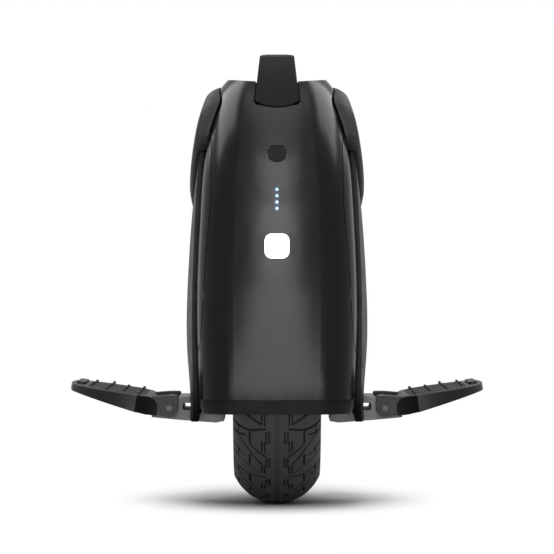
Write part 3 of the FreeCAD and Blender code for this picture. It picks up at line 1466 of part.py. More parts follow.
def pedal_plan(inset, start):
    """The pedal's outline seen from above: neck, shoulders, curved sides and a bowed tip."""
    neck = PEDAL_NECK_WIDTH / 2 - inset
    half = PEDAL_LENGTH / 2 - inset
    tip = PEDAL_TIP_WIDTH / 2 - inset
    end = PEDAL_REACH - PEDAL_TIP_BOW - inset
    shoulder = max(PEDAL_SHOULDER + inset, start)
    drop = half - tip
    span = end - shoulder
    bow = (span * span + drop * drop) / (2 * drop)
    turn = math.asin(span / bow) / 2
    side_u = shoulder + bow * math.sin(turn)
    side_y = half - bow * (1 - math.cos(turn))

    def at(u, y):
        return PIVOT + vec(u, y, 0)

    waist = (start + shoulder) / 2
    waist_y = neck + (half - neck) / 4
    return outline(
        at(start, -neck),
        (at(waist, -waist_y), at(shoulder, -half)),
        (at(side_u, -side_y), at(end, -tip)),
        (at(PEDAL_REACH - inset, 0), at(end, tip)),
        (at(side_u, side_y), at(shoulder, half)),
        (at(waist, waist_y), at(start, neck)),
        (at(start, -neck),),
    )


def mat_block(inset, low, high):
    start = MAT_START + inset
    half = PEDAL_LENGTH / 2 - PEDAL_RIM - inset
    end = PEDAL_REACH - PEDAL_TIP_BOW - PEDAL_RIM - inset - END_LIP_WIDTH
    shape = prism(pedal_plan(PEDAL_RIM + inset, 0), vec(0, 0, low), vec(0, 0, high - low))
    window = box(flat(start, low) - Y_AXIS * half, flat(end, high) + Y_AXIS * half)
    return shape.common(window)


def stud_places():
    places = []
    for u_share, y_share in STUD_SHARES:
        sides = (1,) if y_share == 0 else (-1, 1)
        for side in sides:
            places.append(vec(u_share * PEDAL_REACH, side * y_share * PEDAL_LENGTH / 2, 0))
    return places


def stud_rods(radius, low, high):
    rods = []
    for place in stud_places():
        aside = Y_AXIS * place.y
        rods.append(rod(radius, flat(place.x, low) + aside, flat(place.x, high) + aside))
    return rods


def magnet_rod(gap):
    top = PEDAL_TOP - MAT_DEPTH
    start = flat(PEDAL_MAGNET_PLACE, top - PEDAL_MAGNET_THICKNESS - gap)
    return rod(PEDAL_MAGNET_RADIUS + gap, start, flat(PEDAL_MAGNET_PLACE, top))


def sole_pockets():
    """Hollows under the pedal, with ribs between them."""
    start = MAT_START
    width = PEDAL_LENGTH - 2 * PEDAL_RIM - 2 * SOLE_POCKET_WALL
    step = (width + SOLE_RIB) / SOLE_POCKETS
    roof = PEDAL_TOP - MAT_DEPTH - SOLE_POCKET_ROOF
    pockets = []
    for i in range(SOLE_POCKETS):
        y = i * step - width / 2
        low = flat(start + SOLE_POCKET_WALL, -PEDAL_SOLE - OVERRUN) + Y_AXIS * y
        high = flat(SOLE_POCKET_END, roof) + Y_AXIS * (y + step - SOLE_RIB)
        pockets.append(rounded_block(low, high, SOLE_RIB, Z_AXIS))
    return pockets


def pedal():
    """The right pedal: a tilted wedge with a rim, a sunk deck, ribs underneath and two hinge lugs."""
    tip_low = PEDAL_TOP - PEDAL_TIP_THICKNESS
    tip = PEDAL_REACH + PEDAL_TIP_ROUND
    round_mid = PEDAL_ROOT_ROUND * (1 - math.sqrt(0.5))
    profile = outline(
        flat(PEDAL_ROOT, -PEDAL_SOLE),
        (flat(PEDAL_ROOT, PEDAL_TOP - PEDAL_ROOT_ROUND),),
        (
            flat(PEDAL_ROOT + round_mid, PEDAL_TOP - round_mid),
            flat(PEDAL_ROOT + PEDAL_ROOT_ROUND, PEDAL_TOP),
        ),
        (flat(tip, PEDAL_TOP),),
        (flat(tip, tip_low),),
        (flat(PEDAL_ROOT + PEDAL_SOLE_FLAT, -PEDAL_SOLE),),
        (flat(PEDAL_ROOT, -PEDAL_SOLE),),
    )
    wedge = along(profile, PEDAL_LENGTH)
    depth = PEDAL_TOP + PEDAL_SOLE + 2 * OVERRUN
    wedge = wedge.common(prism(pedal_plan(0, 0), vec(0, 0, -PEDAL_SOLE - OVERRUN), vec(0, 0, depth)))
    rim_edges = [e for e in wedge.Edges if abs(e.BoundBox.ZMin - PIVOT_HEIGHT - PEDAL_TOP) < SEAT_GAP]
    wedge = wedge.makeFillet(PEDAL_EDGE_ROUND, rim_edges)
    lip_out = PEDAL_REACH - PEDAL_TIP_BOW - END_LIP_INSET
    lip_half = Y_AXIS * (END_LIP_LENGTH / 2)
    end_lip = rounded_block(
        flat(lip_out - END_LIP_WIDTH, PEDAL_TOP - PEDAL_TIP_ROUND) - lip_half,
        flat(lip_out, PEDAL_TOP + END_LIP_HEIGHT) + lip_half,
        END_LIP_WIDTH / 3, Z_AXIS,
    )
    top = PEDAL_TOP - MAT_DEPTH
    cuts = [mat_block(0, top, PEDAL_TOP + OVERRUN), magnet_rod(SCREW_GAP)]
    cuts += stud_rods(STUD_RADIUS + SCREW_GAP, top - STUD_DEPTH, PEDAL_TOP + OVERRUN)
    cuts += sole_pockets()
    deck = tilted(wedge.fuse(end_lip).cut(cuts))
    barrel = rod(BARREL_RADIUS + LUG_GAP, PIVOT - Y_AXIS * FAR, PIVOT + Y_AXIS * FAR)
    half = HANGER_FOOT_LENGTH / 2 + LUG_GAP
    inner = box(vec(0, -half, 0), vec(FAR, half, AXLE_HEIGHT))
    deck = deck.cut(barrel.common(inner))
    front_lug = lug()
    whole = deck.fuse([front_lug, rear_of(front_lug)]).removeSplitter()
    return whole.cut(pin_rod(PIN_DIAMETER / 2 + RUN_GAP, OVERRUN))


def lug():
    """The front hinge lug: round below the pivot and flat on top."""
    root = PEDAL_ROOT + PEDAL_SOLE_FLAT
    bend = LUG_ROUND * (1 - math.sqrt(0.5))
    low = LUG_RADIUS * math.sqrt(0.5)
    wire = outline(
        flat(-LUG_RADIUS, 0),
        (flat(-LUG_RADIUS, LUG_TOP - LUG_ROUND),),
        (flat(bend - LUG_RADIUS, LUG_TOP - bend), flat(LUG_ROUND - LUG_RADIUS, LUG_TOP)),
        (flat(LUG_RADIUS / 3, LUG_TOP),),
        (pedal_point(root, PEDAL_TOP - PEDAL_EDGE_ROUND),),
        (pedal_point(root, -PEDAL_SOLE + PEDAL_EDGE_ROUND),),
        (flat(0, -LUG_RADIUS),),
        (flat(-low, -low), flat(-LUG_RADIUS, 0)),
    )
    return prism(wire, vec(0, -lug_end(), 0), vec(0, LUG_WIDTH, 0))


def pedal_mat():
    top = PEDAL_TOP - MAT_DEPTH
    mat = mat_block(SEAT_GAP, top, PEDAL_TOP)
    mat = mat.cut(stud_rods(STUD_RADIUS + SCREW_GAP, top - OVERRUN, PEDAL_TOP + OVERRUN))
    return tilted(mat)


def pedal_studs():
    low = PEDAL_TOP - MAT_DEPTH - STUD_DEPTH
    return tilted(group(stud_rods(STUD_RADIUS, low, PEDAL_TOP + STUD_HEIGHT)))


def pedal_magnet():
    return tilted(magnet_rod(0))


def under_trays():
    """The two plates that close the right side's underside, in front of and behind the hanger."""
    half = HANGER_FOOT_LENGTH / 2 + UNDER_TRAY_GAP
    low = vec(HANGER_INNER, -UNDER_TRAY_REACH, UNDER_TRAY_HEIGHT)
    plate = box(low, vec(SIDE_WIDTH, -half, UNDER_TRAY_HEIGHT + UNDER_TRAY_THICKNESS))
    plate = plate.common(body_volume(-SHELL_WALL - SEAT_GAP, BODY_BOTTOM, SHELL_WALL))
    return group([plate, rear_of(plate)])


# Controller and batteries
def sink_top():
    return AXLE_HEIGHT + WELL_OUTER + SINK_RISE


def heat_sink():
    """A slotted saddle on the crown of the wheel well."""
    half = SINK_WIDTH / 2
    reach = SINK_LENGTH / 2
    block = box(vec(-half, -reach, sink_top() - SINK_DEPTH), vec(half, reach, sink_top()))
    cuts = [disc(WELL_OUTER, -FAR, FAR)]
    step = SINK_WIDTH / (SINK_SLOTS + 1)
    for i in range(SINK_SLOTS):
        x = step * (i + 1) - half - SINK_SLOT_WIDTH / 2
        slot_top = sink_top() - SINK_RISE
        cuts.append(box(vec(x, -FAR, 0), vec(x + SINK_SLOT_WIDTH, FAR, slot_top)))
    return block.cut(cuts)


def controller_board():
    half = SINK_WIDTH / 2 - CONTROLLER_MARGIN
    reach = SINK_LENGTH / 2 - CONTROLLER_MARGIN
    return box(vec(-half, -reach, sink_top()), vec(half, reach, sink_top() + CONTROLLER_THICKNESS))


def capacitors():
    """A row of capacitors lying on the controller board."""
    height = sink_top() + CONTROLLER_THICKNESS + CAPACITOR_RADIUS
    half = CAPACITOR_LENGTH / 2
    cans = []
    for i in range(CAPACITOR_COUNT):
        y = (i - (CAPACITOR_COUNT - 1) / 2) * CAPACITOR_PITCH
        cans.append(rod(CAPACITOR_RADIUS, vec(-half, y, height), vec(half, y, height)))
    return group(cans)


def battery_cells():
    """The right side's cells, fanned out round the axle."""
    middle = (HANGER_INNER + CELL_TRAY_WALL + SEAT_GAP) + CELL_DIAMETER / 2
    start = wheel_point(middle, CELL_INNER_RADIUS)
    cell = rod(CELL_DIAMETER / 2, start, wheel_point(middle, CELL_INNER_RADIUS + CELL_LENGTH))
    first = -CELL_PITCH_ANGLE * (CELL_COUNT - 1) / 2
    return group([cell.rotated(HUB, X_AXIS, first + CELL_PITCH_ANGLE * i) for i in range(CELL_COUNT)])


def battery_tray():
    """A curved tray that holds the cells against the wheel well."""
    inner = CELL_INNER_RADIUS - SEAT_GAP
    outer = CELL_INNER_RADIUS + CELL_LENGTH + SEAT_GAP
    low = HANGER_INNER
    floor = low + CELL_TRAY_WALL
    points = [
        (low, inner - CELL_TRAY_WALL),
        (low, outer + CELL_TRAY_WALL),
        (floor + CELL_TRAY_LIP, outer + CELL_TRAY_WALL),
        (floor + CELL_TRAY_LIP, outer),
        (floor, outer),
        (floor, inner),
        (floor + CELL_TRAY_LIP, inner),
        (floor + CELL_TRAY_LIP, inner - CELL_TRAY_WALL),
    ]
    sweep = CELL_PITCH_ANGLE * CELL_COUNT
    face = Part.Face(polygon([wheel_point(x, r) for x, r in points]))
    return face.revolve(HUB, X_AXIS, sweep).rotated(HUB, X_AXIS, -sweep / 2)


def main():
    os.makedirs("parts", exist_ok=True)
    shell = body_shell()
    blank = front_blank(shell)
    parts = {
        "tyre": tyre(),
        "inner_tube": inner_tube(),
        "valve_stem": valve_stem(),
        "rim": rim(),
        "rotor_ring": rotor_ring(),
        "rotor_magnets": magnets(),
        "right_motor_cover": motor_cover(True),
        "left_motor_cover": left_of(motor_cover(False)),
        "motor_cover_screws": motor_cover_screws(),
        "stator_core": stator_core(),
        "stator_windings": stator_windings(),
        "stator_carrier": stator_carrier(),
        "axle": axle_blank(0),
        "axle_nuts": axle_nuts(),
        "wheel_well": wheel_well(),
        "front_cover": front_cover(blank),
        "rear_cover": rear_cover(blank),
        "handle": handle(),
        "handle_bolts": handle_bolts(),
        "hand_well_tray": hand_well_tray(),
        "charge_port_cap": charge_port_cap(),
        "charge_cap_pin": cap_pin(CAP_PIN_RADIUS, 0),
        "charge_socket": charge_socket(),
        "power_button": power_button(),
        "power_switch": power_switch(),
        "indicator_lights": indicator_lights(),
        "control_board": control_board(),
        "heat_sink": heat_sink(),
        "controller_board": controller_board(),
        "capacitors": capacitors(),
        "rear_lamp_lens": rear_lamp_lens(),
        "rear_lamp_board": rear_lamp_board(),
        "side_cover_screws": side_cover_screws(),
        "hanger_bolts": hanger_bolts(),
        "bearing_balls": bearing_balls(),
        "bearing_inner_rings": both(bearing_ring(AXLE_RADIUS + SCREW_GAP, AXLE_RADIUS + BEARING_RING)),
        "bearing_outer_rings": both(bearing_ring(BEARING_OUTER - BEARING_RING, BEARING_OUTER)),
        "pedal_pins": both(pedal_pin()),
        "battery_cells": both(battery_cells()),
        "battery_trays": both(battery_tray()),
        "under_trays": both(under_trays()),
    }
    rights = {
        "side_shell": side_shell(shell),
        "side_cover": side_cover(),
        "leg_pad": leg_pad(),
        "hanger": hanger(),
        "pedal": pedal(),
        "pedal_mat": pedal_mat(),
        "pedal_studs": pedal_studs(),
        "pedal_magnet": pedal_magnet(),
    }
    for name, shape in rights.items():
        parts["right_" + name] = shape
        parts["left_" + name] = left_of(shape)
    for name, shape in parts.items():
        shape.exportStep("parts/" + name + ".step")
        print(name, len(shape.Solids), round(shape.Volume), shape.isValid())


main()
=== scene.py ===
"""Looks for the electric unicycle: finishes, tyre tread, leg pads, fasteners, studio and camera.

The sizes of pieces are in millimetres. Meshes and the studio are in metres.
"""

import json
import logging
import math
from dataclasses import dataclass
from enum import Enum
from typing import Any, Callable, Iterable, Optional, Sequence

import bmesh
import bpy
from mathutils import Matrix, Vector
from mathutils.bvhtree import BVHTree
from mathutils.geometry import delaunay_2d_cdt

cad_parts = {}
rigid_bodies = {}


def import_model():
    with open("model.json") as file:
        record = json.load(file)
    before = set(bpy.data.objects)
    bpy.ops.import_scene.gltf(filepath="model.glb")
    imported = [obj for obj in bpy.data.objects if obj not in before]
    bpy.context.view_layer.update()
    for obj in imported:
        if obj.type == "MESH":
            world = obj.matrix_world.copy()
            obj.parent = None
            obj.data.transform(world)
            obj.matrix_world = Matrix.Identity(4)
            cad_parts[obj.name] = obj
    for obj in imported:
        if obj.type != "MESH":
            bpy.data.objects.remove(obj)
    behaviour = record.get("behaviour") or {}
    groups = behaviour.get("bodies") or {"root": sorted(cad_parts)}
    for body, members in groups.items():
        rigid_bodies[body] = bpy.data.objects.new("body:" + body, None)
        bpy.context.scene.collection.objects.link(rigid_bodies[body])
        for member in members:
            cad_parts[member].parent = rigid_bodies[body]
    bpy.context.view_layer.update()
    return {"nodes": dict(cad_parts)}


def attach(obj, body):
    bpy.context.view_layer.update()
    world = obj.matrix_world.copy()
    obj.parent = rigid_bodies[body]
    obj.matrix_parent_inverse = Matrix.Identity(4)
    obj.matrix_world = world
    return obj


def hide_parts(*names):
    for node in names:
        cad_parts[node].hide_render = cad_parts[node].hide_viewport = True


for leftover in list(bpy.data.objects):
    bpy.data.objects.remove(leftover)
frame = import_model()

log = logging.getLogger("unicycle")
MM = 0.001
AXLE = Vector((0.0, 0.0, 0.178))
WHITE = (1.0, 1.0, 1.0, 1.0)
NODE_WELD = 0.01 * MM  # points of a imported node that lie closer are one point
TOP = -0.0001  # a fastener's top, a hair under it because a height of 0 is its foot

Pair = tuple[float, float]
Triple = tuple[float, float, float]
Colour = Triple


class Body(str, Enum):
    """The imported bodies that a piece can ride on."""

    CHASSIS = "chassis"
    WHEEL = "wheel"
    LEFT_PEDAL = "left_pedal_body"
    RIGHT_PEDAL = "right_pedal_body"


class Side(Enum):
    """The two sides, as seen from the front."""

    LEFT = -1
    RIGHT = 1

    @property
    def word(self) -> str:
        """The side's word in node names."""
        return self.name.lower()


class Grain(Enum):
    """The small relief of a surface."""

    NONE = "none"
    MOULDED = "moulded"
    CELLS = "cells"
    CAST = "cast"
    BRUSHED = "brushed"
    GRIT = "grit"


GRAIN_DETAIL = {Grain.MOULDED: 2.0, Grain.BRUSHED: 3.0, Grain.CAST: 5.0, Grain.GRIT: 8.0}


class Wiring:
    """Adds and joins the nodes of one tree."""

    def __init__(self, tree: bpy.types.NodeTree) -> None:
        """Work on a tree."""
        self.tree = tree

    def add(self, kind: str, inputs: Optional[dict[Any, Any]] = None, **settings: Any) -> bpy.types.Node:
        """Add a node, set its properties and fill or join its inputs.

        Args:
            kind: The node's type.
            inputs: Values or sockets by input name or place.
            **settings: Properties of the node.

        Returns:
            The new node.
        """
        node = self.tree.nodes.new(kind)
        for key, value in settings.items():
            setattr(node, key, value)
        for key, value in (inputs or {}).items():
            if isinstance(value, bpy.types.NodeSocket):
                self.tree.links.new(value, node.inputs[key])
            else:
                node.inputs[key].default_value = value
        return node


class Sketch(Wiring):
    """The shader nodes of one new material."""

    def __init__(self, name: str) -> None:
        """Start an empty material.

        Args:
            name: The material's name.
        """
        self.material = bpy.data.materials.new(name)
        self.material.use_nodes = True
        super().__init__(self.material.node_tree)
        self.tree.nodes.clear()

    def scaled(self, colour: bpy.types.NodeSocket, share: bpy.types.NodeSocket) -> bpy.types.NodeSocket:
        """A colour times a share."""
        return self.add("ShaderNodeVectorMath", {0: colour, "Scale": share}, operation="SCALE").outputs[0]

    def close(self, shader: bpy.types.NodeSocket) -> bpy.types.Material:
        """Join the last shader to the output and give the finished material."""
        self.add("ShaderNodeOutputMaterial", {"Surface": shader})
        return self.material


@dataclass(frozen=True)
class Finish:
    """A surface finish: broad changes of tone and gloss, a fine grain and plain shader values.

    The edge shade field darkens the surface by the piece's attribute of the same name: painted shade along an edge.
    A foot is two heights, from the lower of which down the surface is dark with painted shade and dull. A glow can
    follow an attribute of the piece.
    """

    name: str
    colour: Colour
    roughness: float
    metallic: float = 0.0
    specular: float = 0.5
    tone: float = 0.14
    tone_scale: float = 16.0
    tone_detail: float = 4.0
    gloss_spread: float = 0.05
    gloss_scale_share: float = 3.1
    gloss_detail: float = 3.0
    least_roughness: float = 0.02
    noise_band: Pair = (0.3, 0.7)
    grain: Grain = Grain.MOULDED
    grain_scale: float = 2200.0
    grain_depth: float = 0.02
    brush_stretch: Triple = (0.06, 1.0, 1.0)
    chip_scale_share: float = 0.7
    coat: float = 0.0
    coat_roughness: float = 0.25
    glow: float = 0.0
    glow_by: str = ""
    unlit_share: float = 0.04
    clear: float = 0.0
    # painted shade: how strongly the edge attribute darkens the colour towards black
    lip: float = 0.0
    # painted shade at the bottom: from the upper foot height down to the lower one the colour darkens and the gloss
    # dulls
    foot: Pair = (0.0, 0.0)
    low_shade_share: float = 0.2
    foot_dulling: float = 0.5

    def shade(self, share: float) -> tuple[float, float, float, float]:
        """The finish's colour times a share, with full alpha."""
        red, green, blue = (min(1.0, part * share) for part in self.colour)
        return (red, green, blue, 1.0)

    def tones(self, sketch: Sketch, place: bpy.types.NodeSocket) -> bpy.types.NodeSocket:
        """Add the nodes of the broad patches of colour.

        Args:
            sketch: The material being made.
            place: Where on the piece the surface is.

        Returns:
            The colour.
        """
        patches = sketch.add("ShaderNodeTexNoise", {
            "Vector": place, "Scale": self.tone_scale, "Detail": self.tone_detail})
        ramp = sketch.add("ShaderNodeValToRGB", {"Fac": patches.outputs[0]})
        for stop, position, share in zip(ramp.color_ramp.elements, self.noise_band, (1.0 - self.tone, 1.0 + self.tone)):
            stop.position = position
            stop.color = self.shade(share)
        return ramp.outputs[0]

    def gloss(self, sketch: Sketch, place: bpy.types.NodeSocket) -> bpy.types.NodeSocket:
        """Add the nodes of the smears that change the gloss.

        Args:
            sketch: The material being made.
            place: Where on the piece the surface is.

        Returns:
            The roughness.
        """
        smears = sketch.add("ShaderNodeTexNoise", {
            "Vector": place, "Scale": self.tone_scale * self.gloss_scale_share, "Detail": self.gloss_detail})
        return sketch.add("ShaderNodeMapRange", {
            "Value": smears.outputs[0], "From Min": self.noise_band[0], "From Max": self.noise_band[1],
            "To Min": max(self.least_roughness, self.roughness - self.gloss_spread),
            "To Max": min(1.0, self.roughness + self.gloss_spread),
        }).outputs[0]

    def relief(self, sketch: Sketch, place: bpy.types.NodeSocket) -> bpy.types.NodeSocket:
        """Add the nodes of the fine grain.

        Args:
            sketch: The material being made.
            place: Where on the piece the surface is.

        Returns:
            The height of the grain, from 0 to 1.
        """
        scale = self.grain_scale
        if self.grain is Grain.CELLS:
            return sketch.add("ShaderNodeTexVoronoi", {"Vector": place, "Scale": scale}).outputs["Distance"]
        if self.grain is Grain.BRUSHED:
            place = sketch.add("ShaderNodeMapping", {"Vector": place, "Scale": self.brush_stretch}).outputs[0]
        noise = sketch.add("ShaderNodeTexNoise", {
            "Vector": place, "Scale": scale, "Detail": GRAIN_DETAIL[self.grain]}).outputs[0]
        if self.grain is not Grain.GRIT:
            return noise
        chips = sketch.add("ShaderNodeTexVoronoi", {"Vector": place, "Scale": scale * self.chip_scale_share})
        return sketch.add("ShaderNodeMath", {0: noise, 1: chips.outputs["Distance"]}, operation="MULTIPLY").outputs[0]

    def build(self) -> bpy.types.Material:
        """Make the material.

        Returns:
            The finished material.
        """
        sketch = Sketch(self.name + "_finish")
        place = sketch.add("ShaderNodeTexCoord").outputs["Object"]
        colour, rough = self.tones(sketch, place), self.gloss(sketch, place)
        # painted shade: the colour darkens where the piece's edge attribute is high
        if self.lip > 0.0:
            edge = sketch.add("ShaderNodeAttribute", attribute_name="lip").outputs["Fac"]
            dim = sketch.add("ShaderNodeMapRange", {"Value": edge, "To Min": 1.0, "To Max": 1.0 - self.lip})
            colour = sketch.scaled(colour, dim.outputs[0])
        # painted shade: darker and duller towards the bottom, below the foot's upper height
        if self.foot[1] > 0.0:
            height = sketch.add("ShaderNodeSeparateXYZ", {0: place}).outputs["Z"]
            rise = {"Value": height, "From Min": self.foot[0] * MM, "From Max": self.foot[1] * MM}
            dim = sketch.add("ShaderNodeMapRange", {**rise, "To Min": self.low_shade_share, "To Max": 1.0})
            colour = sketch.scaled(colour, dim.outputs[0])
            dull = sketch.add("ShaderNodeMapRange", {**rise, "To Min": self.foot_dulling, "To Max": 0.0})
            rough = sketch.add("ShaderNodeMath", {0: rough, 1: dull.outputs[0]}, operation="ADD").outputs[0]
        values: dict[str, Any] = {
            "Base Color": colour, "Roughness": rough, "Metallic": self.metallic,
            "Specular IOR Level": self.specular, "Coat Weight": self.coat, "Coat Roughness": self.coat_roughness,
            "Transmission Weight": self.clear,
        }
        if self.glow > 0.0:
            values["Emission Color"] = self.shade(1.0)
            values["Emission Strength"] = self.glow
        if self.glow_by:
            fade = sketch.add("ShaderNodeAttribute", attribute_name=self.glow_by).outputs["Fac"]
            values["Base Color"] = self.shade(self.unlit_share)
            values["Emission Strength"] = sketch.add(
                "ShaderNodeMath", {0: fade, 1: self.glow}, operation="MULTIPLY").outputs[0]
        if self.grain is not Grain.NONE:
            values["Normal"] = sketch.add("ShaderNodeBump", {
                "Height": self.relief(sketch, place), "Strength": 1.0, "Distance": self.grain_depth * MM}).outputs[0]
        return sketch.close(sketch.add("ShaderNodeBsdfPrincipled", values).outputs[0])


FINISHES: tuple[Finish, ...] = (
    Finish("tyre", (0.0135, 0.0135, 0.014), 0.62, specular=0.24, grain=Grain.CAST, grain_scale=900, grain_depth=0.05),
    Finish("tube", (0.012, 0.012, 0.012), 0.7, grain_depth=0.03),
    Finish("valve", (0.55, 0.42, 0.2), 0.32, metallic=1.0, grain=Grain.BRUSHED, grain_depth=0.01),
    Finish("rim", (0.028, 0.028, 0.03), 0.42, metallic=0.4, grain=Grain.CAST, grain_scale=1500, grain_depth=0.02),
    Finish("motor_cover", (0.03, 0.03, 0.032), 0.46, metallic=0.35, grain=Grain.CAST, grain_scale=1300,
           grain_depth=0.03),
    Finish("rotor", (0.35, 0.35, 0.36), 0.4, metallic=1.0, grain=Grain.BRUSHED),
    Finish("magnet", (0.5, 0.5, 0.5), 0.28, metallic=1.0, grain=Grain.BRUSHED),
    Finish("stator", (0.2, 0.2, 0.21), 0.5, metallic=0.9, grain=Grain.BRUSHED),
    Finish("winding", (0.5, 0.2, 0.07), 0.35, metallic=0.9, grain=Grain.BRUSHED, grain_scale=900, grain_depth=0.2),
    Finish("carrier", (0.4, 0.4, 0.41), 0.5, metallic=1.0, grain=Grain.CAST),
    Finish("steel", (0.5, 0.5, 0.5), 0.3, metallic=1.0, grain=Grain.BRUSHED, grain_depth=0.01),
    Finish("black_steel", (0.008, 0.008, 0.0082), 0.46, metallic=0.12, specular=0.3, grain=Grain.BRUSHED,
           grain_depth=0.01),
    Finish("shell", (0.002, 0.002, 0.0021), 0.22, specular=0.1, tone=0.1, gloss_spread=0.02, grain_depth=0.002),
    # the side cover's bottom is darkened with painted shade, from 118 mm down to 94 mm and below
    Finish("side_cover", (0.0025, 0.0025, 0.0027), 0.46, specular=0.055, tone=0.1, grain_depth=0.008,
           foot=(94.0, 118.0)),
    Finish("inner_plastic", (0.0028, 0.0028, 0.0028), 0.6, specular=0.06, grain_depth=0.02),
    # the pad's edges are darkened with painted shade, a dark line where the pad meets the body
    Finish("pad", (0.0095, 0.0095, 0.01), 0.6, specular=0.18, grain=Grain.CELLS, grain_scale=1100, grain_depth=0.12,
           lip=0.9),
    Finish("handle", (0.0025, 0.0025, 0.0027), 0.62, specular=0.055, grain=Grain.CELLS, grain_scale=1500,
           grain_depth=0.05),
    # painted light: the white plastic button glows, so it shows brighter than the lamps alone make it
    Finish("button", (0.85, 0.86, 0.88), 0.35, tone=0.02, glow=0.75, grain=Grain.NONE),
    Finish("light", (0.15, 0.30, 0.44), 0.3, tone=0.02, glow=0.22, grain=Grain.NONE),
    # painted light: the glow of the rings round the charge lights stands in for their shine on the panel
    Finish("halo", (0.04, 0.19, 0.42), 0.3, specular=0.15, tone=0.02, glow=0.16, glow_by="glow", grain=Grain.NONE),
    Finish("cap", (0.0045, 0.0045, 0.0045), 0.75, specular=0.06, grain_depth=0.02),
    Finish("socket", (0.03, 0.03, 0.03), 0.5, grain_depth=0.01),
    Finish("board", (0.01, 0.09, 0.035), 0.4, tone=0.3, tone_scale=160, coat=0.3, grain_scale=1400),
    Finish("part_body", (0.015, 0.015, 0.015), 0.5, grain_depth=0.01),
    Finish("can", (0.35, 0.36, 0.38), 0.35, metallic=0.9, grain=Grain.BRUSHED),
    Finish("sink", (0.55, 0.55, 0.56), 0.42, metallic=1.0, grain=Grain.BRUSHED),
    Finish("cell", (0.02, 0.10, 0.24), 0.4, tone=0.05, grain_depth=0.01),
    Finish("lens", (0.55, 0.015, 0.015), 0.16, clear=0.35, tone=0.05, grain=Grain.CELLS, grain_scale=420,
           grain_depth=0.15),
    Finish("hanger", (0.0125, 0.0125, 0.013), 0.46, metallic=0.25, grain=Grain.CAST, grain_scale=1300,
           grain_depth=0.03),
    Finish("pedal", (0.0045, 0.0045, 0.0048), 0.46, metallic=0.04, specular=0.12, grain=Grain.CAST, grain_scale=1300,
           grain_depth=0.03),
    Finish("mat", (0.014, 0.014, 0.014), 0.9, specular=0.25, grain=Grain.GRIT, grain_scale=1300, grain_depth=0.5),
)


class Paintbox:
    """Every finish by its slot name, made once."""

    def __init__(self, finishes: Iterable[Finish]) -> None:
        """Make the material of each finish."""
        self.materials = {finish.name: finish.build() for finish in finishes}

    def paint(self, thing: bpy.types.Object, slot: str) -> None:
        """Give an object one finish, by its slot's name."""
        thing.data.materials.clear()
        thing.data.materials.append(self.materials[slot])

    def paint_nodes(self) -> None:
        """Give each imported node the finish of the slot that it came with, and the cap's pin a dark one."""
        for node in frame["nodes"].values():
            self.paint(node, node.data.materials[0].name)
        self.paint(frame["nodes"]["charge_cap_pin"], "black_steel")


class NodeGroup(Wiring):
    """A small geometry tree with named inputs, evaluated into a plain mesh."""

    weld: float = 0.02

    def __init__(self, name: str, inputs: Sequence[tuple[str, str]]) -> None:
        """Start a tree.

        Args:
            name: The tree's name.
            inputs: Name and socket type of each input after the geometry.
        """
        super().__init__(bpy.data.node_groups.new(name, "GeometryNodeTree"))
        face = self.tree.interface
        face.new_socket("Geometry", in_out="INPUT", socket_type="NodeSocketGeometry")
        self.sockets = {n: face.new_socket(n, in_out="INPUT", socket_type=kind) for n, kind in inputs}
        face.new_socket("Geometry", in_out="OUTPUT", socket_type="NodeSocketGeometry")
        self.source = self.add("NodeGroupInput")

    def end(self, copies: bpy.types.NodeSocket, merge: bool) -> None:
        """Close the tree: real copies, joined where asked, with their material.

        Args:
            copies: The instances.
            merge: Whether touching points are joined.
        """
        solid = self.add("GeometryNodeRealizeInstances", {"Geometry": copies}).outputs[0]
        if merge:
            solid = self.add("GeometryNodeMergeByDistance", {"Geometry": solid, "Distance": self.weld * MM}).outputs[0]
        painted = self.add("GeometryNodeSetMaterial", {
            "Geometry": solid, "Material": self.source.outputs["Material"]})
        self.add("NodeGroupOutput", {0: painted.outputs[0]})

    def run(self, name: str, mesh: bpy.types.Mesh, values: dict[str, Any]) -> bpy.types.Object:
        """Run the tree on a mesh.

        Args:
            name: The new object's name.
            mesh: What the tree starts from.
            values: The tree's inputs by name.

        Returns:
            A new object with a plain mesh and no modifier.
        """
        seed = bpy.data.objects.new(name + "_seed", mesh)
        bpy.context.scene.collection.objects.link(seed)
        modifier = seed.modifiers.new("copies", "NODES")
        modifier.node_group = self.tree
        for key, value in values.items():
            modifier[self.sockets[key].identifier] = value
        graph = bpy.context.evaluated_depsgraph_get()
        made = bpy.data.meshes.new_from_object(seed.evaluated_get(graph), depsgraph=graph)
        made.name = name
        bpy.data.objects.remove(seed)
        return add_object(name, made)


def ring_group() -> NodeGroup:
    """Copies of a sector turned about the axle.

    Returns:
        A tree with the inputs Count, Centre and Material.
    """
    group = NodeGroup("ring_of_sectors", (
        ("Count", "NodeSocketInt"), ("Centre", "NodeSocketVector"), ("Material", "NodeSocketMaterial")))
    given = group.source.outputs
    spots = group.add("GeometryNodePoints", {"Count": given["Count"], "Position": given["Centre"]})
    place = group.add("GeometryNodeInputIndex")
    step = group.add("ShaderNodeMath", {0: math.tau, 1: given["Count"]}, operation="DIVIDE")
    angle = group.add("ShaderNodeMath", {0: place.outputs[0], 1: step.outputs[0]}, operation="MULTIPLY")
    turn = group.add("ShaderNodeCombineXYZ", {"X": angle.outputs[0]})
    facing = group.add("FunctionNodeEulerToRotation", {0: turn.outputs[0]})
    copies = group.add("GeometryNodeInstanceOnPoints", {
        "Points": spots.outputs[0], "Instance": given["Geometry"], "Rotation": facing.outputs[0]})
    group.end(copies.outputs[0], True)
    return group


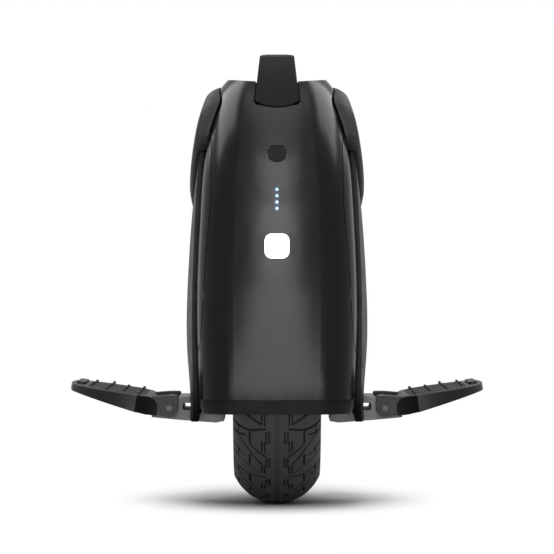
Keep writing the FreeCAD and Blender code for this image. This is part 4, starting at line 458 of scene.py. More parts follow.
def place_group() -> NodeGroup:
    """Copies of a small piece on points, each turned to its point's facing.

    Returns:
        A tree with the inputs Piece and Material.
    """
    group = NodeGroup("copies_on_places", (("Piece", "NodeSocketObject"), ("Material", "NodeSocketMaterial")))
    given = group.source.outputs
    piece = group.add("GeometryNodeObjectInfo", {"Object": given["Piece"]})
    spots = group.add("GeometryNodeMeshToPoints", {"Mesh": given["Geometry"]})
    facing = group.add("GeometryNodeInputNamedAttribute", {"Name": "facing"}, data_type="FLOAT_VECTOR")
    turn = group.add("FunctionNodeAlignRotationToVector", {"Vector": facing.outputs[0]}, axis="Z")
    copies = group.add("GeometryNodeInstanceOnPoints", {
        "Points": spots.outputs[0], "Instance": piece.outputs["Geometry"], "Rotation": turn.outputs[0]})
    group.end(copies.outputs[0], False)
    return group


def add_object(name: str, mesh: bpy.types.Mesh) -> bpy.types.Object:
    """Put a mesh in the scene, at the origin.

    Args:
        name: The object's name.
        mesh: Its mesh.

    Returns:
        The new object.
    """
    thing = bpy.data.objects.new(name, mesh)
    bpy.context.scene.collection.objects.link(thing)
    return thing


def mesh_of(name: str, points: Sequence[Vector], faces: Sequence[Sequence[int]]) -> bpy.types.Mesh:
    """A mesh from points and faces.

    Args:
        name: The mesh's name.
        points: Its points, in metres.
        faces: Its faces.

    Returns:
        The new mesh.
    """
    mesh = bpy.data.meshes.new(name)
    mesh.from_pydata([tuple(point) for point in points], [], [tuple(face) for face in faces])
    mesh.validate()
    return mesh


def places_mesh(name: str, places: Sequence[Vector], directions: Sequence[Vector]) -> bpy.types.Mesh:
    """Bare points that carry the direction that a copied piece faces.

    Args:
        name: The mesh's name.
        places: The points.
        directions: One direction for each.

    Returns:
        The new mesh.
    """
    mesh = mesh_of(name, places, [])
    for row, direction in zip(mesh.attributes.new("facing", "FLOAT_VECTOR", "POINT").data, directions):
        row.vector = direction
    return mesh


def mark_points(mesh: bpy.types.Mesh, name: str, values: Sequence[float]) -> None:
    """Keep one number for each point, under a name that a finish reads."""
    for row, value in zip(mesh.attributes.new(name, "FLOAT", "POINT").data, values):
        row.value = value


def outward(mesh: bpy.types.Mesh, weld: float = 0.0) -> None:
    """Join points that touch and turn every face outwards.

    Args:
        mesh: The mesh.
        weld: Points closer than this become one, in millimetres.
    """
    shape = bmesh.new()
    shape.from_mesh(mesh)
    if weld > 0.0:
        bmesh.ops.remove_doubles(shape, verts=shape.verts, dist=weld * MM)
    bmesh.ops.recalc_face_normals(shape, faces=shape.faces)
    shape.to_mesh(mesh)
    shape.free()


def smooth(mesh: bpy.types.Mesh, limit: float) -> None:
    """Smooth shading with sharp edges above an angle.

    Args:
        mesh: The mesh.
        limit: The angle, in degrees.
    """
    shape = bmesh.new()
    shape.from_mesh(mesh)
    for face in shape.faces:
        face.smooth = True
    for edge in shape.edges:
        edge.smooth = len(edge.link_faces) == 2 and edge.calc_face_angle(0.0) < math.radians(limit)
    shape.to_mesh(mesh)
    shape.free()


def merged(node: str) -> bmesh.types.BMesh:
    """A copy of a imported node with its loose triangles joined.

    Args:
        node: The node's name.

    Returns:
        The copy, which the caller frees.
    """
    shape = bmesh.new()
    shape.from_mesh(frame["nodes"][node].data)
    bmesh.ops.remove_doubles(shape, verts=shape.verts, dist=NODE_WELD)
    return shape


def surface_tree(nodes: Sequence[str]) -> BVHTree:
    """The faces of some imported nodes, ready for ray casts.

    Args:
        nodes: The nodes' names.

    Returns:
        The tree.
    """
    points: list[Vector] = []
    faces: list[list[int]] = []
    for node in nodes:
        mesh = frame["nodes"][node].data
        first = len(points)
        points += [v.co.copy() for v in mesh.vertices]
        faces += [[first + i for i in face.vertices] for face in mesh.polygons]
    return BVHTree.FromPolygons(points, faces)


def blended(rows: Sequence[Sequence[float]], place: float) -> list[float]:
    """A smooth reading between the rows of a table whose first column grows.

    Args:
        rows: The table.
        place: Where it is read, in the first column.

    Returns:
        The other columns at that place.
    """
    last = len(rows) - 1
    start = max(i for i in range(last) if i == 0 or rows[i][0] <= place)
    a, b = rows[start], rows[start + 1]
    before, after = rows[max(start - 1, 0)], rows[min(start + 2, last)]
    span = b[0] - a[0]
    t = min(max((place - a[0]) / span, 0.0), 1.0)
    read = []
    for column in range(1, len(a)):
        rise_a = (b[column] - before[column]) / (b[0] - before[0]) * span
        rise_b = (after[column] - a[column]) / (after[0] - a[0]) * span
        t2, t3 = t * t, t * t * t
        read.append((2 * t3 - 3 * t2 + 1) * a[column] + (t3 - 2 * t2 + t) * rise_a
                    + (3 * t2 - 2 * t3) * b[column] + (t3 - t2) * rise_b)
    return read


def islands(node: str) -> list[list[Vector]]:
    """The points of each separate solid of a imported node.

    Args:
        node: The node's name.

    Returns:
        One list of points for each solid.
    """
    shape = merged(node)
    shape.verts.index_update()
    reached: set[int] = set()
    found = []
    for first in shape.verts:
        if first.index in reached:
            continue
        reached.add(first.index)
        ready, points = [first], []
        while ready:
            vert = ready.pop()
            points.append(vert.co.copy())
            for edge in vert.link_edges:
                other = edge.other_vert(vert)
                if other.index not in reached:
                    reached.add(other.index)
                    ready.append(other)
        found.append(points)
    shape.free()
    return found


@dataclass(frozen=True)
class Groove:
    """One tread groove: a bent line of (across, along) in millimetres and a width."""

    line: tuple[Pair, ...]
    width: float


@dataclass
class Tyre:
    """The tyre: a grooved tread skin joined to its sidewalls, beads and liner, made as sectors round the axle."""

    paints: Paintbox
    radius: float = 178.0
    crown: float = 46.254
    half_width: float = 42.5
    sectors: int = 16
    start: float = 34.3
    depth: float = 3.3
    middle_depth: float = 1.0
    groove_share: float = 1.35
    middle_band: Pair = (3.0, 7.0)
    rows: int = 13
    columns: int = 22
    join: float = 1e-3
    edge_reach: float = 0.01
    crease: float = 34.0
    ribs: tuple[Pair, ...] = (
        (42.62, 148.6), (42.7, 147.6), (42.15, 147.0), (42.25, 145.4), (42.65, 144.9), (42.55, 143.8), (41.9, 143.2),
        (41.5, 141.4), (40.7, 139.6), (40.6, 138.6), (39.2, 136.6), (37.4, 134.9), (35.6, 133.6), (35.0, 133.3),
        (35.0, 127.0), (28.0, 127.0))
    liner: tuple[Pair, ...] = ((32.6, 131.5), (36.2, 138.5), (37.0, 144.0), (37.0, 150.0))
    liner_half: float = 37.0
    liner_top: float = 170.0
    liner_drop: float = 20.0
    liner_steps: int = 6

    @property
    def pitch(self) -> float:
        """Length of a sector along the tread."""
        return math.tau * self.radius / self.sectors

    @property
    def limit(self) -> float:
        """Distance from the middle of the tread to its edge, along the crown."""
        return self.crown * math.asin(self.half_width / self.crown)

    def grooves(self) -> list[Groove]:
        """The grooves of the right half of one sector, which holds two hooks.

        Returns:
            The grooves.
        """
        step = self.pitch / 2
        found = [Groove(((1.3, -1.0), (1.3, step), (1.3, self.pitch + 1.0)), 0.9)]
        for hook in (0.0, step):
            found.append(Groove(((7.4, hook), (7.4, hook + 14.0), (8.8, hook + 15.2), (10.3, hook + 14.0),
                                 (10.3, hook + 0.8)), 1.5))
            found.append(Groove(((11.7, hook + 13.0), (11.7, hook + 29.5)), 1.2))
            found.append(Groove(((14.5, hook + 13.0), (14.5, hook + 28.0)), 1.3))
        lines: tuple[tuple[tuple[Pair, ...], float], ...] = (
            (((10.8, -2.6), (17.0, -0.6), (24.0, 2.4), (27.0, 3.9), (33.0, 5.1), (39.0, 5.7), (43.6, 5.9)), 2.2),
            (((26.4, 3.6), (26.4, 21.5)), 1.9),
            (((10.8, step - 0.6), (17.5, step - 5.0), (24.6, step - 10.0), (26.6, step - 14.0)), 2.2),
            (((14.7, step + 12.0), (19.0, step + 7.0), (23.4, step + 2.4), (26.6, step - 3.0), (31.0, step - 8.2),
              (37.5, step - 15.5), (43.6, step - 18.5)), 2.2),
            (((14.5, step + 28.0), (20.0, step + 25.2), (26.4, step + 22.4), (33.0, step + 19.6),
              (43.6, step + 18.4)), 2.0),
            (((26.4, step + 3.0), (26.4, step + 22.0)), 1.8),
            (((31.0, step + 9.6), (37.5, step + 5.4), (43.6, step + 4.2)), 1.8),
            (((30.5, 13.0), (36.5, 16.5), (43.6, 18.4)), 1.8),
            (((37.4, 6.0), (37.4, step - 15.6)), 1.6),
            (((37.4, step + 5.6), (37.4, step + 18.6)), 1.6),
        )
        return found + [Groove(line, width) for line, width in lines]

    def outlines(self) -> list[list[Vector]]:
        """Closed strips of all the grooves, both halves, with their neighbours before and after.

        Returns:
            Outlines in (across the crown, along) millimetres, each anticlockwise.
        """
        strips = []
        for groove in self.grooves():
            flat = [Vector((self.crown * math.asin(x / self.crown), s)) for x, s in groove.line]
            near, far = [], []
            for i, point in enumerate(flat):
                run = (flat[min(i + 1, len(flat) - 1)] - flat[max(i - 1, 0)]).normalized()
                side = Vector((-run.y, run.x)) * (groove.width * self.groove_share / 2)
                near.append(point + side)
                far.append(point - side)
            strip = near + far[::-1]
            area = sum(a.x * b.y - b.x * a.y for a, b in zip(strip, strip[1:] + strip[:1]))
            strip = strip if area > 0 else strip[::-1]
            for shift in (-self.pitch, 0.0, self.pitch):
                moved = [point + Vector((0.0, shift)) for point in strip]
                if max(p.y for p in moved) > 0.0 and min(p.y for p in moved) < self.pitch:
                    strips.append(moved)
                    strips.append([Vector((-point.x, point.y)) for point in reversed(moved)])
        return strips

    def place(self, across: float, along: float, depth: float) -> Vector:
        """A point of the tread about the axle.

        Args:
            across: From the middle, along the crown.
            along: Round the tyre.
            depth: Under the tread's face.

        Returns:
            The point, in metres from the axle.
        """
        tilt = across / self.crown
        reach = self.crown - depth
        return self.spot(reach * math.sin(tilt), self.radius - self.crown + reach * math.cos(tilt), along)

    def groove_depth(self, across: float) -> float:
        """How deep a groove is: the two middle ones are shallow.

        Args:
            across: From the middle, along the crown.

        Returns:
            The depth under the tread's face.
        """
        near, far = self.middle_band
        share = min(max((abs(across) - near) / (far - near), 0.0), 1.0)
        return self.middle_depth + (self.depth - self.middle_depth) * share

    def spot(self, x: float, radius: float, along: float) -> Vector:
        """A point of the section turned to its place along the tyre, in metres from the axle."""
        turn = math.radians(self.start) + along / self.radius
        return Vector((x, -radius * math.cos(turn), -radius * math.sin(turn))) * MM

    def wall_profile(self) -> list[Pair]:
        """The section from under the right edge of the tread, round the bead and liner, to the left edge.

        Returns:
            Points of (x, radius) in millimetres.
        """
        right = list(self.ribs + self.liner)
        for i in range(1, self.liner_steps):
            x = self.liner_half * (1 - i / self.liner_steps)
            right.append((x, self.liner_top - self.liner_drop * (x / self.liner_half) ** 2))
        return right + [(0.0, self.liner_top)] + [(-x, r) for x, r in reversed(right)]

    def sector(self) -> bpy.types.Mesh:
        """One sector of the whole tyre: lands, groove floors and walls, and the carcass under them.

        Returns:
            Its mesh, about the axle.
        """
        limit, length = self.limit, self.pitch
        points = [Vector((-limit, 0.0)), Vector((limit, 0.0)), Vector((limit, length)), Vector((-limit, length))]
        faces: list[list[int]] = [[0, 1, 2, 3]]
        for strip in self.outlines():
            faces.append(list(range(len(points), len(points) + len(strip))))
            points += strip
        for row in range(self.rows + 1):
            for column in range(self.columns + 1):
                across = limit * (2 * column / self.columns - 1)
                points.append(Vector((across, length * row / self.rows)))
        flat, _, cells, _, _, owners = delaunay_2d_cdt(points, [], faces, 0, self.join, True)
        shape = bmesh.new()
        known: dict[tuple[int, bool], bmesh.types.BMVert] = {}

        def corner(index: int, low: bool) -> bmesh.types.BMVert:
            """The tread's point over or under a flat point.

            Args:
                index: The flat point.
                low: Whether it lies on a groove's floor.

            Returns:
                The point, made once.
            """
            if (index, low) not in known:
                spot = flat[index]
                depth = self.groove_depth(spot.x) if low else 0.0
                known[index, low] = shape.verts.new(self.place(spot.x, spot.y, depth))
            return known[index, low]

        edges: dict[tuple[int, int], list[bool]] = {}
        for cell, owner in zip(cells, owners):
            if 0 not in owner:
                continue
            low = any(face > 0 for face in owner)
            shape.faces.new([corner(i, low) for i in cell])
            for a, b in zip(cell, list(cell[1:]) + [cell[0]]):
                edges.setdefault((min(a, b), max(a, b)), []).append(low)
        for (a, b), kinds in edges.items():
            if len(kinds) == 2 and kinds[0] != kinds[1]:
                shape.faces.new([corner(a, False), corner(b, False), corner(b, True), corner(a, True)])
        self.carcass(shape, flat, edges, corner)
        mesh = bpy.data.meshes.new("tyre_sector")
        shape.to_mesh(mesh)
        shape.free()
        outward(mesh)
        return mesh

    def carcass(self, shape: bmesh.types.BMesh, flat: Sequence[Vector], edges: dict[tuple[int, int], list[bool]],
                corner: Callable[[int, bool], bmesh.types.BMVert]) -> None:
        """Add sidewalls, beads and liner from one edge of the tread round to the other.

        Args:
            shape: The sector being made.
            flat: The flat points of the tread.
            edges: Its edges, and on which level the cells beside each lie.
            corner: Gives the tread's point at a flat point.
        """
        def low_between(a: int, b: int) -> bool:
            """Whether the cell beside an edge of the tread lies on a groove's floor."""
            return edges.get((min(a, b), max(a, b)), [False])[0]

        lines: dict[int, list[int]] = {}
        for side in (1, -1):
            line = {i for edge in edges for i in edge if abs(flat[i].x - side * self.limit) < self.edge_reach}
            lines[side] = sorted(line, key=lambda i: flat[i].y)
        profile = self.wall_profile()
        heights = [flat[i].y for i in lines[1]]
        grid = [[shape.verts.new(self.spot(x, r, s)) for x, r in profile] for s in heights]
        for low_row, high_row in zip(grid, grid[1:]):
            for a, b, c, d in zip(low_row, low_row[1:], high_row[1:], high_row):
                shape.faces.new([a, b, c, d])
        for side, column in ((1, 0), (-1, len(profile) - 1)):
            line = lines[side]
            for j, (a, b) in enumerate(zip(line, line[1:])):
                low = low_between(a, b)
                shape.faces.new([corner(a, low), corner(b, low), grid[j + 1][column], grid[j][column]])
            for j in range(1, len(line) - 1):
                if low_between(line[j - 1], line[j]) != low_between(line[j], line[j + 1]):
                    shape.faces.new([corner(line[j], False), corner(line[j], True), grid[j][column]])

    def build(self, ring: NodeGroup) -> bpy.types.Object:
        """Make the tyre and put it on the wheel.

        Args:
            ring: The tree that turns the sectors about the axle.

        Returns:
            The tyre.
        """
        tyre = ring.run("tyre_tread", self.sector(), {
            "Count": self.sectors, "Centre": AXLE, "Material": self.paints.materials["tyre"]})
        outward(tyre.data)
        smooth(tyre.data, self.crease)
        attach(tyre, Body.WHEEL.value)
        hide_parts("tyre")
        return tyre


@dataclass
class LegPads:
    """The two soft leg pads: crowned cushions on the flanks, with rolled edges whose last millimetres are darkened with
    painted shade.

    An outline row is (share of the half length, low share, high share) of the pad's height; a crown row is
    (height, distance of the outer face from the middle plane) half way along.
    """

    paints: Paintbox
    half_length: float = 138.0
    low: float = 297.0
    high: float = 412.5
    columns: int = 150
    rows: int = 56
    roll: float = 9.0
    most: float = 12.5
    least: float = 2.2
    fall: float = 2.6
    fall_length: float = 120.0
    end_slope: float = 1.6
    # painted shade: full within the first distance from the pad's edge, faded out by the second
    lip: Pair = (0.9, 2.4)
    probe: float = 2.0
    outside: float = 300.0
    settle: int = 14
    settle_share: float = 0.5
    weld: float = 0.002
    crease: float = 60.0
    fill: float = 0.8
    outline: tuple[Triple, ...] = (
        (0.0, 0.0, 1.0), (0.26, 0.045, 1.0), (0.46, 0.14, 0.995), (0.68, 0.27, 0.98), (0.86, 0.40, 0.925),
        (0.955, 0.49, 0.84), (1.0, 0.57, 0.72))
    crown: tuple[Pair, ...] = (
        (297.0, 84.6), (305.0, 85.9), (314.5, 86.4), (326.0, 86.0), (337.5, 85.2), (350.0, 83.7), (363.0, 81.7),
        (375.2, 79.3), (386.3, 76.2), (400.0, 71.2), (406.5, 67.6), (413.4, 61.5))

    def build(self) -> list[bpy.types.Object]:
        """Make both pads."""
        places = self.places()
        return [self.pad(side, places) for side in Side]

    def flank(self, tree: BVHTree, y: float, z: float) -> float:
        """Distance from the middle plane to the outermost face near a place on the left flank.

        Args:
            tree: The faces of the flank.
            y: The place along the body.
            z: Its height.

        Returns:
            Millimetres.
        """
        found = []
        for step_y in (-self.probe, 0.0, self.probe):
            for step_z in (-self.probe, 0.0, self.probe):
                start = Vector((-self.outside, y + step_y, z + step_z)) * MM
                hit = tree.ray_cast(start, Vector((1.0, 0.0, 0.0)))[0]
                if hit is not None:
                    found.append(-hit.x / MM)
        return max(found)

    def places(self) -> list[list[tuple[Vector, float, float]]]:
        """The grid of a pad: each point of the flank, the pad's thickness over it and its distance from the edge.

        Returns:
            Rows of points from the front end to the rear end, for the left side.
        """
        tree = surface_tree(("left_side_cover", "left_side_shell", "front_cover", "rear_cover"))
        height = self.high - self.low
        grid = []
        for column in range(self.columns + 1):
            share = math.sin(math.pi * (column / self.columns - 0.5))
            low_share, high_share = blended(self.outline, abs(share))
            y = share * self.half_length
            line = []
            for row in range(self.rows + 1):
                rise = 0.5 - 0.5 * math.cos(math.pi * row / self.rows)
                z = self.low + height * (low_share + (high_share - low_share) * rise)
                base = self.flank(tree, y, z)
                outer = blended(self.crown, z)[0] - self.fall * (y / self.fall_length) ** 2
                thick = min(max(outer - base, self.least), self.most)
                ends = (1.0 - abs(share)) * self.half_length
                edges = min(rise, 1.0 - rise) * (high_share - low_share) * height
                line.append((Vector((base, y, z)), thick, min(ends * self.end_slope, edges)))
            grid.append(line)
        return grid

    def rolled(self, inset: float) -> float:
        """The share of its thickness that the pad has at a distance from its edge."""
        return math.sqrt(1.0 - (1.0 - min(max(inset, 0.0) / self.roll, 1.0)) ** 2)

    def outer_faces(self, places: Sequence[Sequence[tuple[Vector, float, float]]]) -> list[list[float]]:
        """The outer face of a pad, settled into one smooth cushion.

        Args:
            places: The pad's grid.

        Returns:
            Distances from the middle plane.
        """
        faces = [[base.x + thick for base, thick, _ in line] for line in places]
        for _ in range(self.settle):
            before = [list(line) for line in faces]
            for i in range(1, len(faces) - 1):
                for j in range(1, len(faces[0]) - 1):
                    around = before[i - 1][j] + before[i + 1][j] + before[i][j - 1] + before[i][j + 1]
                    faces[i][j] = self.settle_share * before[i][j] + (1.0 - self.settle_share) / 4 * around
        return faces

    def pad(self, side: Side, places: Sequence[Sequence[tuple[Vector, float, float]]]) -> bpy.types.Object:
        """Make one pad and put it on the chassis.

        Args:
            side: Which side.
            places: The pad's grid.

        Returns:
            The pad.
        """
        faces = self.outer_faces(places)
        points: list[Vector] = []
        shades: list[float] = []
        for over in (True, False):
            for line, outer in zip(places, faces):
                for (base, _, inset), face in zip(line, outer):
                    lift = (face - base.x) * self.rolled(inset) if over else 0.0
                    points.append(Vector((side.value * (base.x + lift), base.y, base.z)) * MM)
                    # painted shade along the pad's edge: full within the first edge distance, gone past the second
                    shades.append(1.0 - min(max((inset - self.lip[0]) / (self.lip[1] - self.lip[0]), 0.0), 1.0))
        wide, tall = len(places), len(places[0])
        cells: list[list[int]] = []
        for layer in (0, wide * tall):
            for i in range(wide - 1):
                for j in range(tall - 1):
                    corner = layer + i * tall + j
                    cells.append([corner, corner + tall, corner + tall + 1, corner + 1])
        mesh = mesh_of(side.word + "_pad", points, cells)
        # keep the painted edge shade on the points for the pad's finish
        mark_points(mesh, "lip", shades)
        outward(mesh, self.weld)
        smooth(mesh, self.crease)
        pad = add_object(side.word + "_pad", mesh)
        self.paints.paint(pad, "pad")
        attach(pad, Body.CHASSIS.value)
        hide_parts(side.word + "_leg_pad")
        return pad


@dataclass(frozen=True)
class Fastener:
    """A turned fastener, with a six-sided socket where it has one, drawn from its foot up.

    Its rings are (height, radius); heights under 0 count down from the top.
    """

    rings: tuple[Pair, ...]
    socket: float = 0.0
    socket_depth: float = 0.0
    segments: int = 18

    def ring(self, height: float, radius: float) -> list[Vector]:
        """One round ring of points, in metres."""
        turns = [math.tau * i / self.segments for i in range(self.segments)]
        return [Vector((radius * math.cos(a), radius * math.sin(a), height)) * MM for a in turns]

    def socket_ring(self, height: float) -> list[Vector]:
        """One six-sided ring of points.

        Args:
            height: Where it lies along the axis.

        Returns:
            The points, in metres.
        """
        side = math.tau / 6
        found = []
        for point in self.ring(height, 1.0):
            turn = math.atan2(point.y, point.x) % side - side / 2
            reach = self.socket * math.cos(side / 2) / math.cos(turn)
            found.append(Vector((point.x * reach, point.y * reach, point.z)))
        return found

    def mesh(self, name: str, length: float) -> bpy.types.Mesh:
        """The fastener's closed mesh, from its foot at the origin up the Z axis.

        Args:
            name: The mesh's name.
            length: Its whole length, in millimetres.

        Returns:
            The mesh.
        """
        rows = [self.ring(height + (length if height < 0 else 0.0), radius) for height, radius in self.rings]
        if self.socket > 0.0:
            rows += [self.socket_ring(length), self.socket_ring(length - self.socket_depth)]
        points = [point for row in rows for point in row]
        count = self.segments
        faces: list[list[int]] = [list(reversed(range(count)))]
        for row in range(len(rows) - 1):
            for i in range(count):
                after = (i + 1) % count
                faces.append([row * count + i, row * count + after, (row + 1) * count + after, (row + 1) * count + i])
        faces.append(list(range((len(rows) - 1) * count, len(rows) * count)))
        return mesh_of(name, points, faces)


@dataclass
class Fasteners:
    """Every screw, stud and pin that shows: one drawing of each kind, copied to the places of its node's solids."""

    paints: Paintbox
    stud: Fastener = Fastener(((0.0, 1.15), (0.3, 1.4), (-0.35, 1.4), (TOP, 1.1)), 0.75, 1.3)
    cover_screw: Fastener = Fastener(
        ((0.0, 1.6), (0.4, 2.0), (-2.2, 2.0), (-2.2, 3.45), (-2.05, 3.6), (-1.1, 3.6), (-0.5, 3.35), (-0.15, 2.9),
         (TOP, 2.3)), 1.45, 1.3)
    side_screw: Fastener = Fastener(
        ((0.0, 1.6), (0.4, 2.0), (-2.0, 2.0), (-2.0, 3.25), (-1.85, 3.4), (-1.0, 3.4), (-0.45, 3.15), (-0.12, 2.7),
         (TOP, 2.2)), 1.35, 1.2)
    pin: Fastener = Fastener(
        ((0.0, 3.3), (0.45, 3.79), (-0.3, 3.79), (2 * TOP, 3.5), (TOP, 3.3), (-0.9, 3.2), (-0.9, 2.55),
         (TOP, 2.45)), segments=32)
    lean: float = 9.0
    slot: str = "black_steel"
    crease: float = 30.0

    @staticmethod
    def sideways(middle: Vector) -> Vector:
        """Away from the middle plane."""
        return Vector((math.copysign(1.0, middle.x), 0.0, 0.0))

    def build(self, copies: NodeGroup) -> list[bpy.types.Object]:
        """Make all the fasteners.

        Args:
            copies: The tree that copies a piece to places.

        Returns:
            The new pieces.
        """
        made = []
        for side, body in ((Side.LEFT, Body.LEFT_PEDAL), (Side.RIGHT, Body.RIGHT_PEDAL)):
            turn = math.radians(self.lean)
            axis = Vector((-side.value * math.sin(turn), 0.0, math.cos(turn)))
            made.append(self.set_of(copies, side.word + "_pedal_studs", self.stud, body, lambda middle, up=axis: up))
        forward = Vector((0.0, -1.0, 0.0))
        made.append(self.set_of(copies, "pedal_pins", self.pin, Body.CHASSIS, lambda middle: forward))
        for node, kind, body in (("motor_cover_screws", self.cover_screw, Body.WHEEL),
                                 ("side_cover_screws", self.side_screw, Body.CHASSIS)):
            made.append(self.set_of(copies, node, kind, body, self.sideways))
        return made

    def set_of(self, copies: NodeGroup, node: str, kind: Fastener, body: Body,
               facing: Callable[[Vector], Vector]) -> bpy.types.Object:
        """One kind of fastener under the heads of a node's solids, as long as the shortest of them.

        Args:
            copies: The tree that copies a piece to places.
            node: The node that is replaced.
            kind: The drawing.
            body: What they ride on.
            facing: Gives the direction of a fastener's head from its middle.

        Returns:
            The new piece.
        """
        heads, directions, lengths = [], [], []
        for points in islands(node):
            low = Vector([min(p[i] for p in points) for i in range(3)])
            high = Vector([max(p[i] for p in points) for i in range(3)])
            middle = (low + high) / 2
            axis = facing(middle)
            reach = [p.dot(axis) for p in points]
            heads.append(middle + axis * (max(reach) - middle.dot(axis)))
            directions.append(axis)
            lengths.append(max(reach) - min(reach))
        length = min(lengths)
        places = [head - axis * length for head, axis in zip(heads, directions)]
        template = add_object(node + "_one", kind.mesh(node + "_one", length / MM))
        made = copies.run(node + "_drawn", places_mesh(node + "_places", places, directions), {
            "Piece": template, "Material": self.paints.materials[self.slot]})
        bpy.data.objects.remove(template)
        smooth(made.data, self.crease)
        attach(made, body.value)
        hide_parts(node)
        return made


@dataclass
class ChargeLights:
    """The blue shine on the panel round each of the four charge lights, painted as glowing rings laid on the panel."""

    paints: Paintbox
    node: str = "indicator_lights"
    segments: int = 28
    clearance: float = 0.1
    lift: float = 0.03
    root: float = 0.05
    face_depth: float = 0.3
    aside: float = 1.0
    in_front: float = 1000.0
    crease: float = 40.0
    fade: tuple[Pair, ...] = ((0.0, 1.0), (0.5, 0.5), (1.1, 0.16), (2.0, 0.0))

    def ring(self, lens: float) -> bpy.types.Mesh:
        """A thin ring of painted light that glows at its inner edge and fades outwards.

        Args:
            lens: The radius of the light that it lies round.

        Returns:
            A closed mesh round the Z axis.
        """
        inner = lens + self.clearance
        rows = [(inner, -self.root, 1.0)] + [(inner + reach, self.lift, glow) for reach, glow in self.fade]
        rows.append((inner + self.fade[-1][0], -self.root, 0.0))
        points, glows, faces = [], [], []
        for radius, height, glow in rows:
            for i in range(self.segments):
                turn = math.tau * i / self.segments
                points.append(Vector((radius * math.cos(turn), radius * math.sin(turn), height)) * MM)
                glows.append(glow)
        for row in range(len(rows)):
            first, second = row * self.segments, (row + 1) % len(rows) * self.segments
            for i in range(self.segments):
                after = (i + 1) % self.segments
                faces.append([first + i, second + i, second + after, first + after])
        mesh = mesh_of("charge_light_ring", points, faces)
        mark_points(mesh, "glow", glows)
        outward(mesh)
        return mesh

    def build(self, copies: NodeGroup) -> bpy.types.Object:
        """Lay a ring round each light.

        Args:
            copies: The tree that copies a piece to places.

        Returns:
            The rings.
        """
        panel = surface_tree(("front_cover",))
        places, directions, lens = [], [], 0.0
        for points in islands(self.node):
            foremost = min(p.y for p in points)
            front = [p for p in points if p.y < foremost + self.face_depth * MM]
            low, high = min(p.x for p in front), max(p.x for p in front)
            lens = (high - low) / 2 / MM
            height = (min(p.z for p in front) + max(p.z for p in front)) / 2
            start = Vector((high + self.aside * MM, -self.in_front * MM, height))
            spot, normal = panel.ray_cast(start, Vector((0.0, 1.0, 0.0)))[:2]
            places.append(Vector(((low + high) / 2, spot.y, height)))
            directions.append(normal)
        # lay the rings of painted light on the panel
        template = add_object("charge_light_one", self.ring(lens))
        made = copies.run("charge_light_shine", places_mesh("charge_light_places", places, directions), {
            "Piece": template, "Material": self.paints.materials["halo"]})
        bpy.data.objects.remove(template)
        smooth(made.data, self.crease)
        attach(made, Body.CHASSIS.value)
        return made


@dataclass(frozen=True)
class Softbox:
    """An area light: where it hangs, what it faces, its width and height in metres, and its brightness."""

    name: str
    middle: Triple
    aim: Triple
    size: Pair
    level: float

    def hang(self) -> None:
        """Put the light in the scene."""
        data = bpy.data.lights.new(self.name, "AREA")
        data.shape = "RECTANGLE"
        data.size, data.size_y = self.size
        data.energy = self.level * math.pi * self.size[0] * self.size[1]
        light = bpy.data.objects.new(self.name, data)
        bpy.context.scene.collection.objects.link(light)
        light.visible_camera = False
        light.location = self.middle
        light.rotation_euler = (Vector(self.aim) - Vector(self.middle)).to_track_quat("-Z", "Y").to_euler()


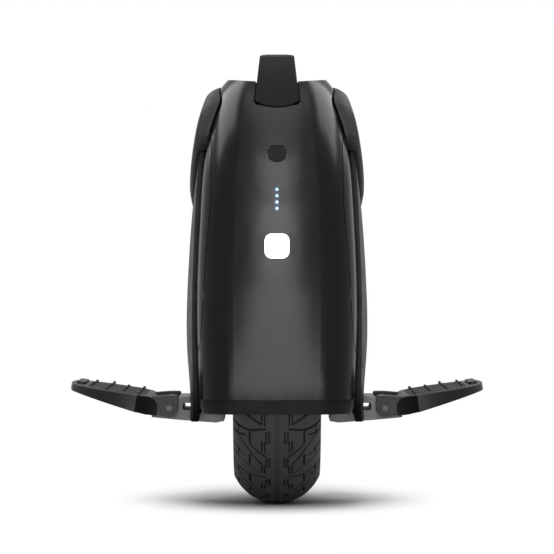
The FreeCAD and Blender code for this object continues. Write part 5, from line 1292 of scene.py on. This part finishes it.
@dataclass
class Studio:
    """The camera, the lights and the white set."""

    distance: float = 3.6
    eye_height: float = 0.240
    aim_height: float = 0.226
    lens: float = 233.9
    sensor: float = 36.0
    clip: Pair = (0.1, 60.0)
    world_level: float = 0.05
    half_width: float = 12.0
    front: float = -8.0
    back: float = 9.0
    wall_foot: float = -0.5
    wall_top: float = 9.0
    wall_base: float = 0.2
    floor_base: float = 0.36
    floor_near: float = 0.0
    floor_reach: Pair = (0.1, 0.31)
    floor_middle: Triple = (0.0, 0.09, 0.0)
    floor_stretch: Triple = (1.8, 1.0, 1.0)
    boxes: tuple[Softbox, ...] = (
        Softbox("front_low", (0.0, -4.2, 1.1), (0.0, 0.0, 0.3), (1.25, 2.6), 17.6),
        Softbox("front_high", (0.0, -3.2, 3.2), (0.0, 0.0, 0.3), (1.0, 2.0), 15.5),
        Softbox("far_card", (0.0, -2.1, 0.006), (0.0, -2.1, 1.0), (0.75, 1.7), 13.2),
        Softbox("near_card", (0.0, -0.85, 0.006), (0.0, -0.85, 1.0), (0.46, 0.8), 10.4),
        Softbox("overhead", (0.0, -0.85, 3.5), (0.0, -0.1, 0.0), (0.8, 2.4), 5.0),
        Softbox("left_high", (-1.6, 0.6, 2.6), (0.0, 0.0, 0.35), (2.2, 1.9), 8.4),
        Softbox("right_high", (1.6, 0.6, 2.6), (0.0, 0.0, 0.35), (2.2, 1.9), 8.4),
        Softbox("left_rim", (-2.4, 2.2, 2.0), (0.0, 0.0, 0.35), (0.6, 1.5), 4.0),
        Softbox("right_rim", (2.4, 2.2, 2.0), (0.0, 0.0, 0.35), (0.6, 1.5), 4.0),
    )

    def camera(self) -> None:
        """Make the camera that the photograph was matched to."""
        data = bpy.data.cameras.new("camera")
        data.sensor_width = self.sensor
        data.lens = self.lens
        data.clip_start, data.clip_end = self.clip
        camera = bpy.data.objects.new("camera", data)
        bpy.context.scene.collection.objects.link(camera)
        camera.location = (0.0, -self.distance, self.eye_height)
        aim = Vector((0.0, 0.0, self.aim_height)) - camera.location
        camera.rotation_euler = aim.to_track_quat("-Z", "Y").to_euler()
        bpy.context.scene.camera = camera

    def lights(self) -> None:
        """Hang the softboxes and set surroundings that are dim but are seen as white."""
        for box in self.boxes:
            box.hang()
        world = bpy.data.worlds.new("world")
        bpy.context.scene.world = world
        world.use_nodes = True
        sky = Wiring(world.node_tree)
        sky.tree.nodes.clear()
        level = sky.add("ShaderNodeMapRange", {
            "Value": self.seen_rays(sky), "To Min": self.world_level, "To Max": 1.0})
        shine = sky.add("ShaderNodeBackground", {"Color": WHITE, "Strength": level.outputs[0]})
        sky.add("ShaderNodeOutputWorld", {"Surface": shine.outputs[0]})

    @staticmethod
    def seen_rays(sketch: Wiring) -> bpy.types.NodeSocket:
        """The rays that see the set's own white: from the camera, off a glossy piece or through a clear one.

        Args:
            sketch: The nodes being made.

        Returns:
            1 for those rays, otherwise 0.
        """
        rays = sketch.add("ShaderNodeLightPath").outputs
        outer = sketch.add("ShaderNodeMath", {0: rays["Is Camera Ray"], 1: rays["Is Transmission Ray"]},
                           operation="MAXIMUM")
        return sketch.add("ShaderNodeMath", {0: outer.outputs[0], 1: rays["Is Glossy Ray"]},
                          operation="MAXIMUM").outputs[0]

    def set_material(self, name: str, base: float, near: float, reach: Pair,
                     middle: Triple = (0.0, 0.0, 0.0)) -> bpy.types.Material:
        """A lit surface that turns to plain white away from the object, so that the shadow stays.

        Args:
            name: The material's name.
            base: How much light it gives back.
            near: The share of plain white close to the object.
            reach: Between which distances that share grows to 1.
            middle: Where those distances are measured from, once the floor's stretch is applied.

        Returns:
            The material.
        """
        sketch = Sketch(name)
        place = sketch.add("ShaderNodeTexCoord").outputs["Object"]
        drawn = sketch.add("ShaderNodeVectorMath", {0: place, 1: self.floor_stretch}, operation="MULTIPLY")
        far = sketch.add("ShaderNodeVectorMath", {0: drawn.outputs[0], 1: middle}, operation="DISTANCE")
        rise = sketch.add("ShaderNodeMapRange", {
            "Value": far.outputs["Value"], "From Min": reach[0], "From Max": reach[1], "To Min": near, "To Max": 1.0,
        }, interpolation_type="SMOOTHSTEP")
        share = sketch.add("ShaderNodeMath", {0: self.seen_rays(sketch), 1: rise.outputs[0]}, operation="MULTIPLY")
        lit = sketch.add("ShaderNodeBsdfDiffuse", {"Color": (base, base, base, 1.0)})
        white = sketch.add("ShaderNodeEmission", {"Color": WHITE, "Strength": 1.0})
        whole = sketch.add("ShaderNodeMixShader", {0: share.outputs[0], 1: lit.outputs[0], 2: white.outputs[0]})
        return sketch.close(whole.outputs[0])

    def floor(self) -> None:
        """Add the white floor and the backdrop behind it."""
        left, right = -self.half_width, self.half_width
        ground = [Vector((x, y, 0.0)) for x, y in (
            (left, self.front), (right, self.front), (right, self.back), (left, self.back))]
        floor = add_object("floor", mesh_of("floor", ground, [range(len(ground))]))
        floor.data.materials.append(
            self.set_material("floor_white", self.floor_base, self.floor_near, self.floor_reach, self.floor_middle))
        wall = [Vector((x, self.back, z)) for x, z in (
            (left, self.wall_foot), (right, self.wall_foot), (right, self.wall_top), (left, self.wall_top))]
        backdrop = add_object("backdrop", mesh_of("backdrop", wall, [range(len(wall))]))
        backdrop.data.materials.append(self.set_material("backdrop_white", self.wall_base, 1.0, (0.0, 1.0)))

    def build(self) -> None:
        """Make the whole set."""
        self.camera()
        self.lights()
        self.floor()
        bpy.context.scene.view_settings.view_transform = "Standard"


def main() -> None:
    """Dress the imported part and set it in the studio."""
    logging.basicConfig(level=logging.INFO)
    paints = Paintbox(FINISHES)
    paints.paint_nodes()
    for name, node in frame["nodes"].items():
        log.info("painted %s with %s", name, node.data.materials[0].name)
    pieces = [Tyre(paints).build(ring_group()), *LegPads(paints).build()]
    copies = place_group()
    pieces += [*Fasteners(paints).build(copies), ChargeLights(paints).build(copies)]
    for piece in pieces:
        log.info("made %s with %d faces", piece.name, len(piece.data.polygons))
    Studio().build()


if __name__ == "__main__":
    main()
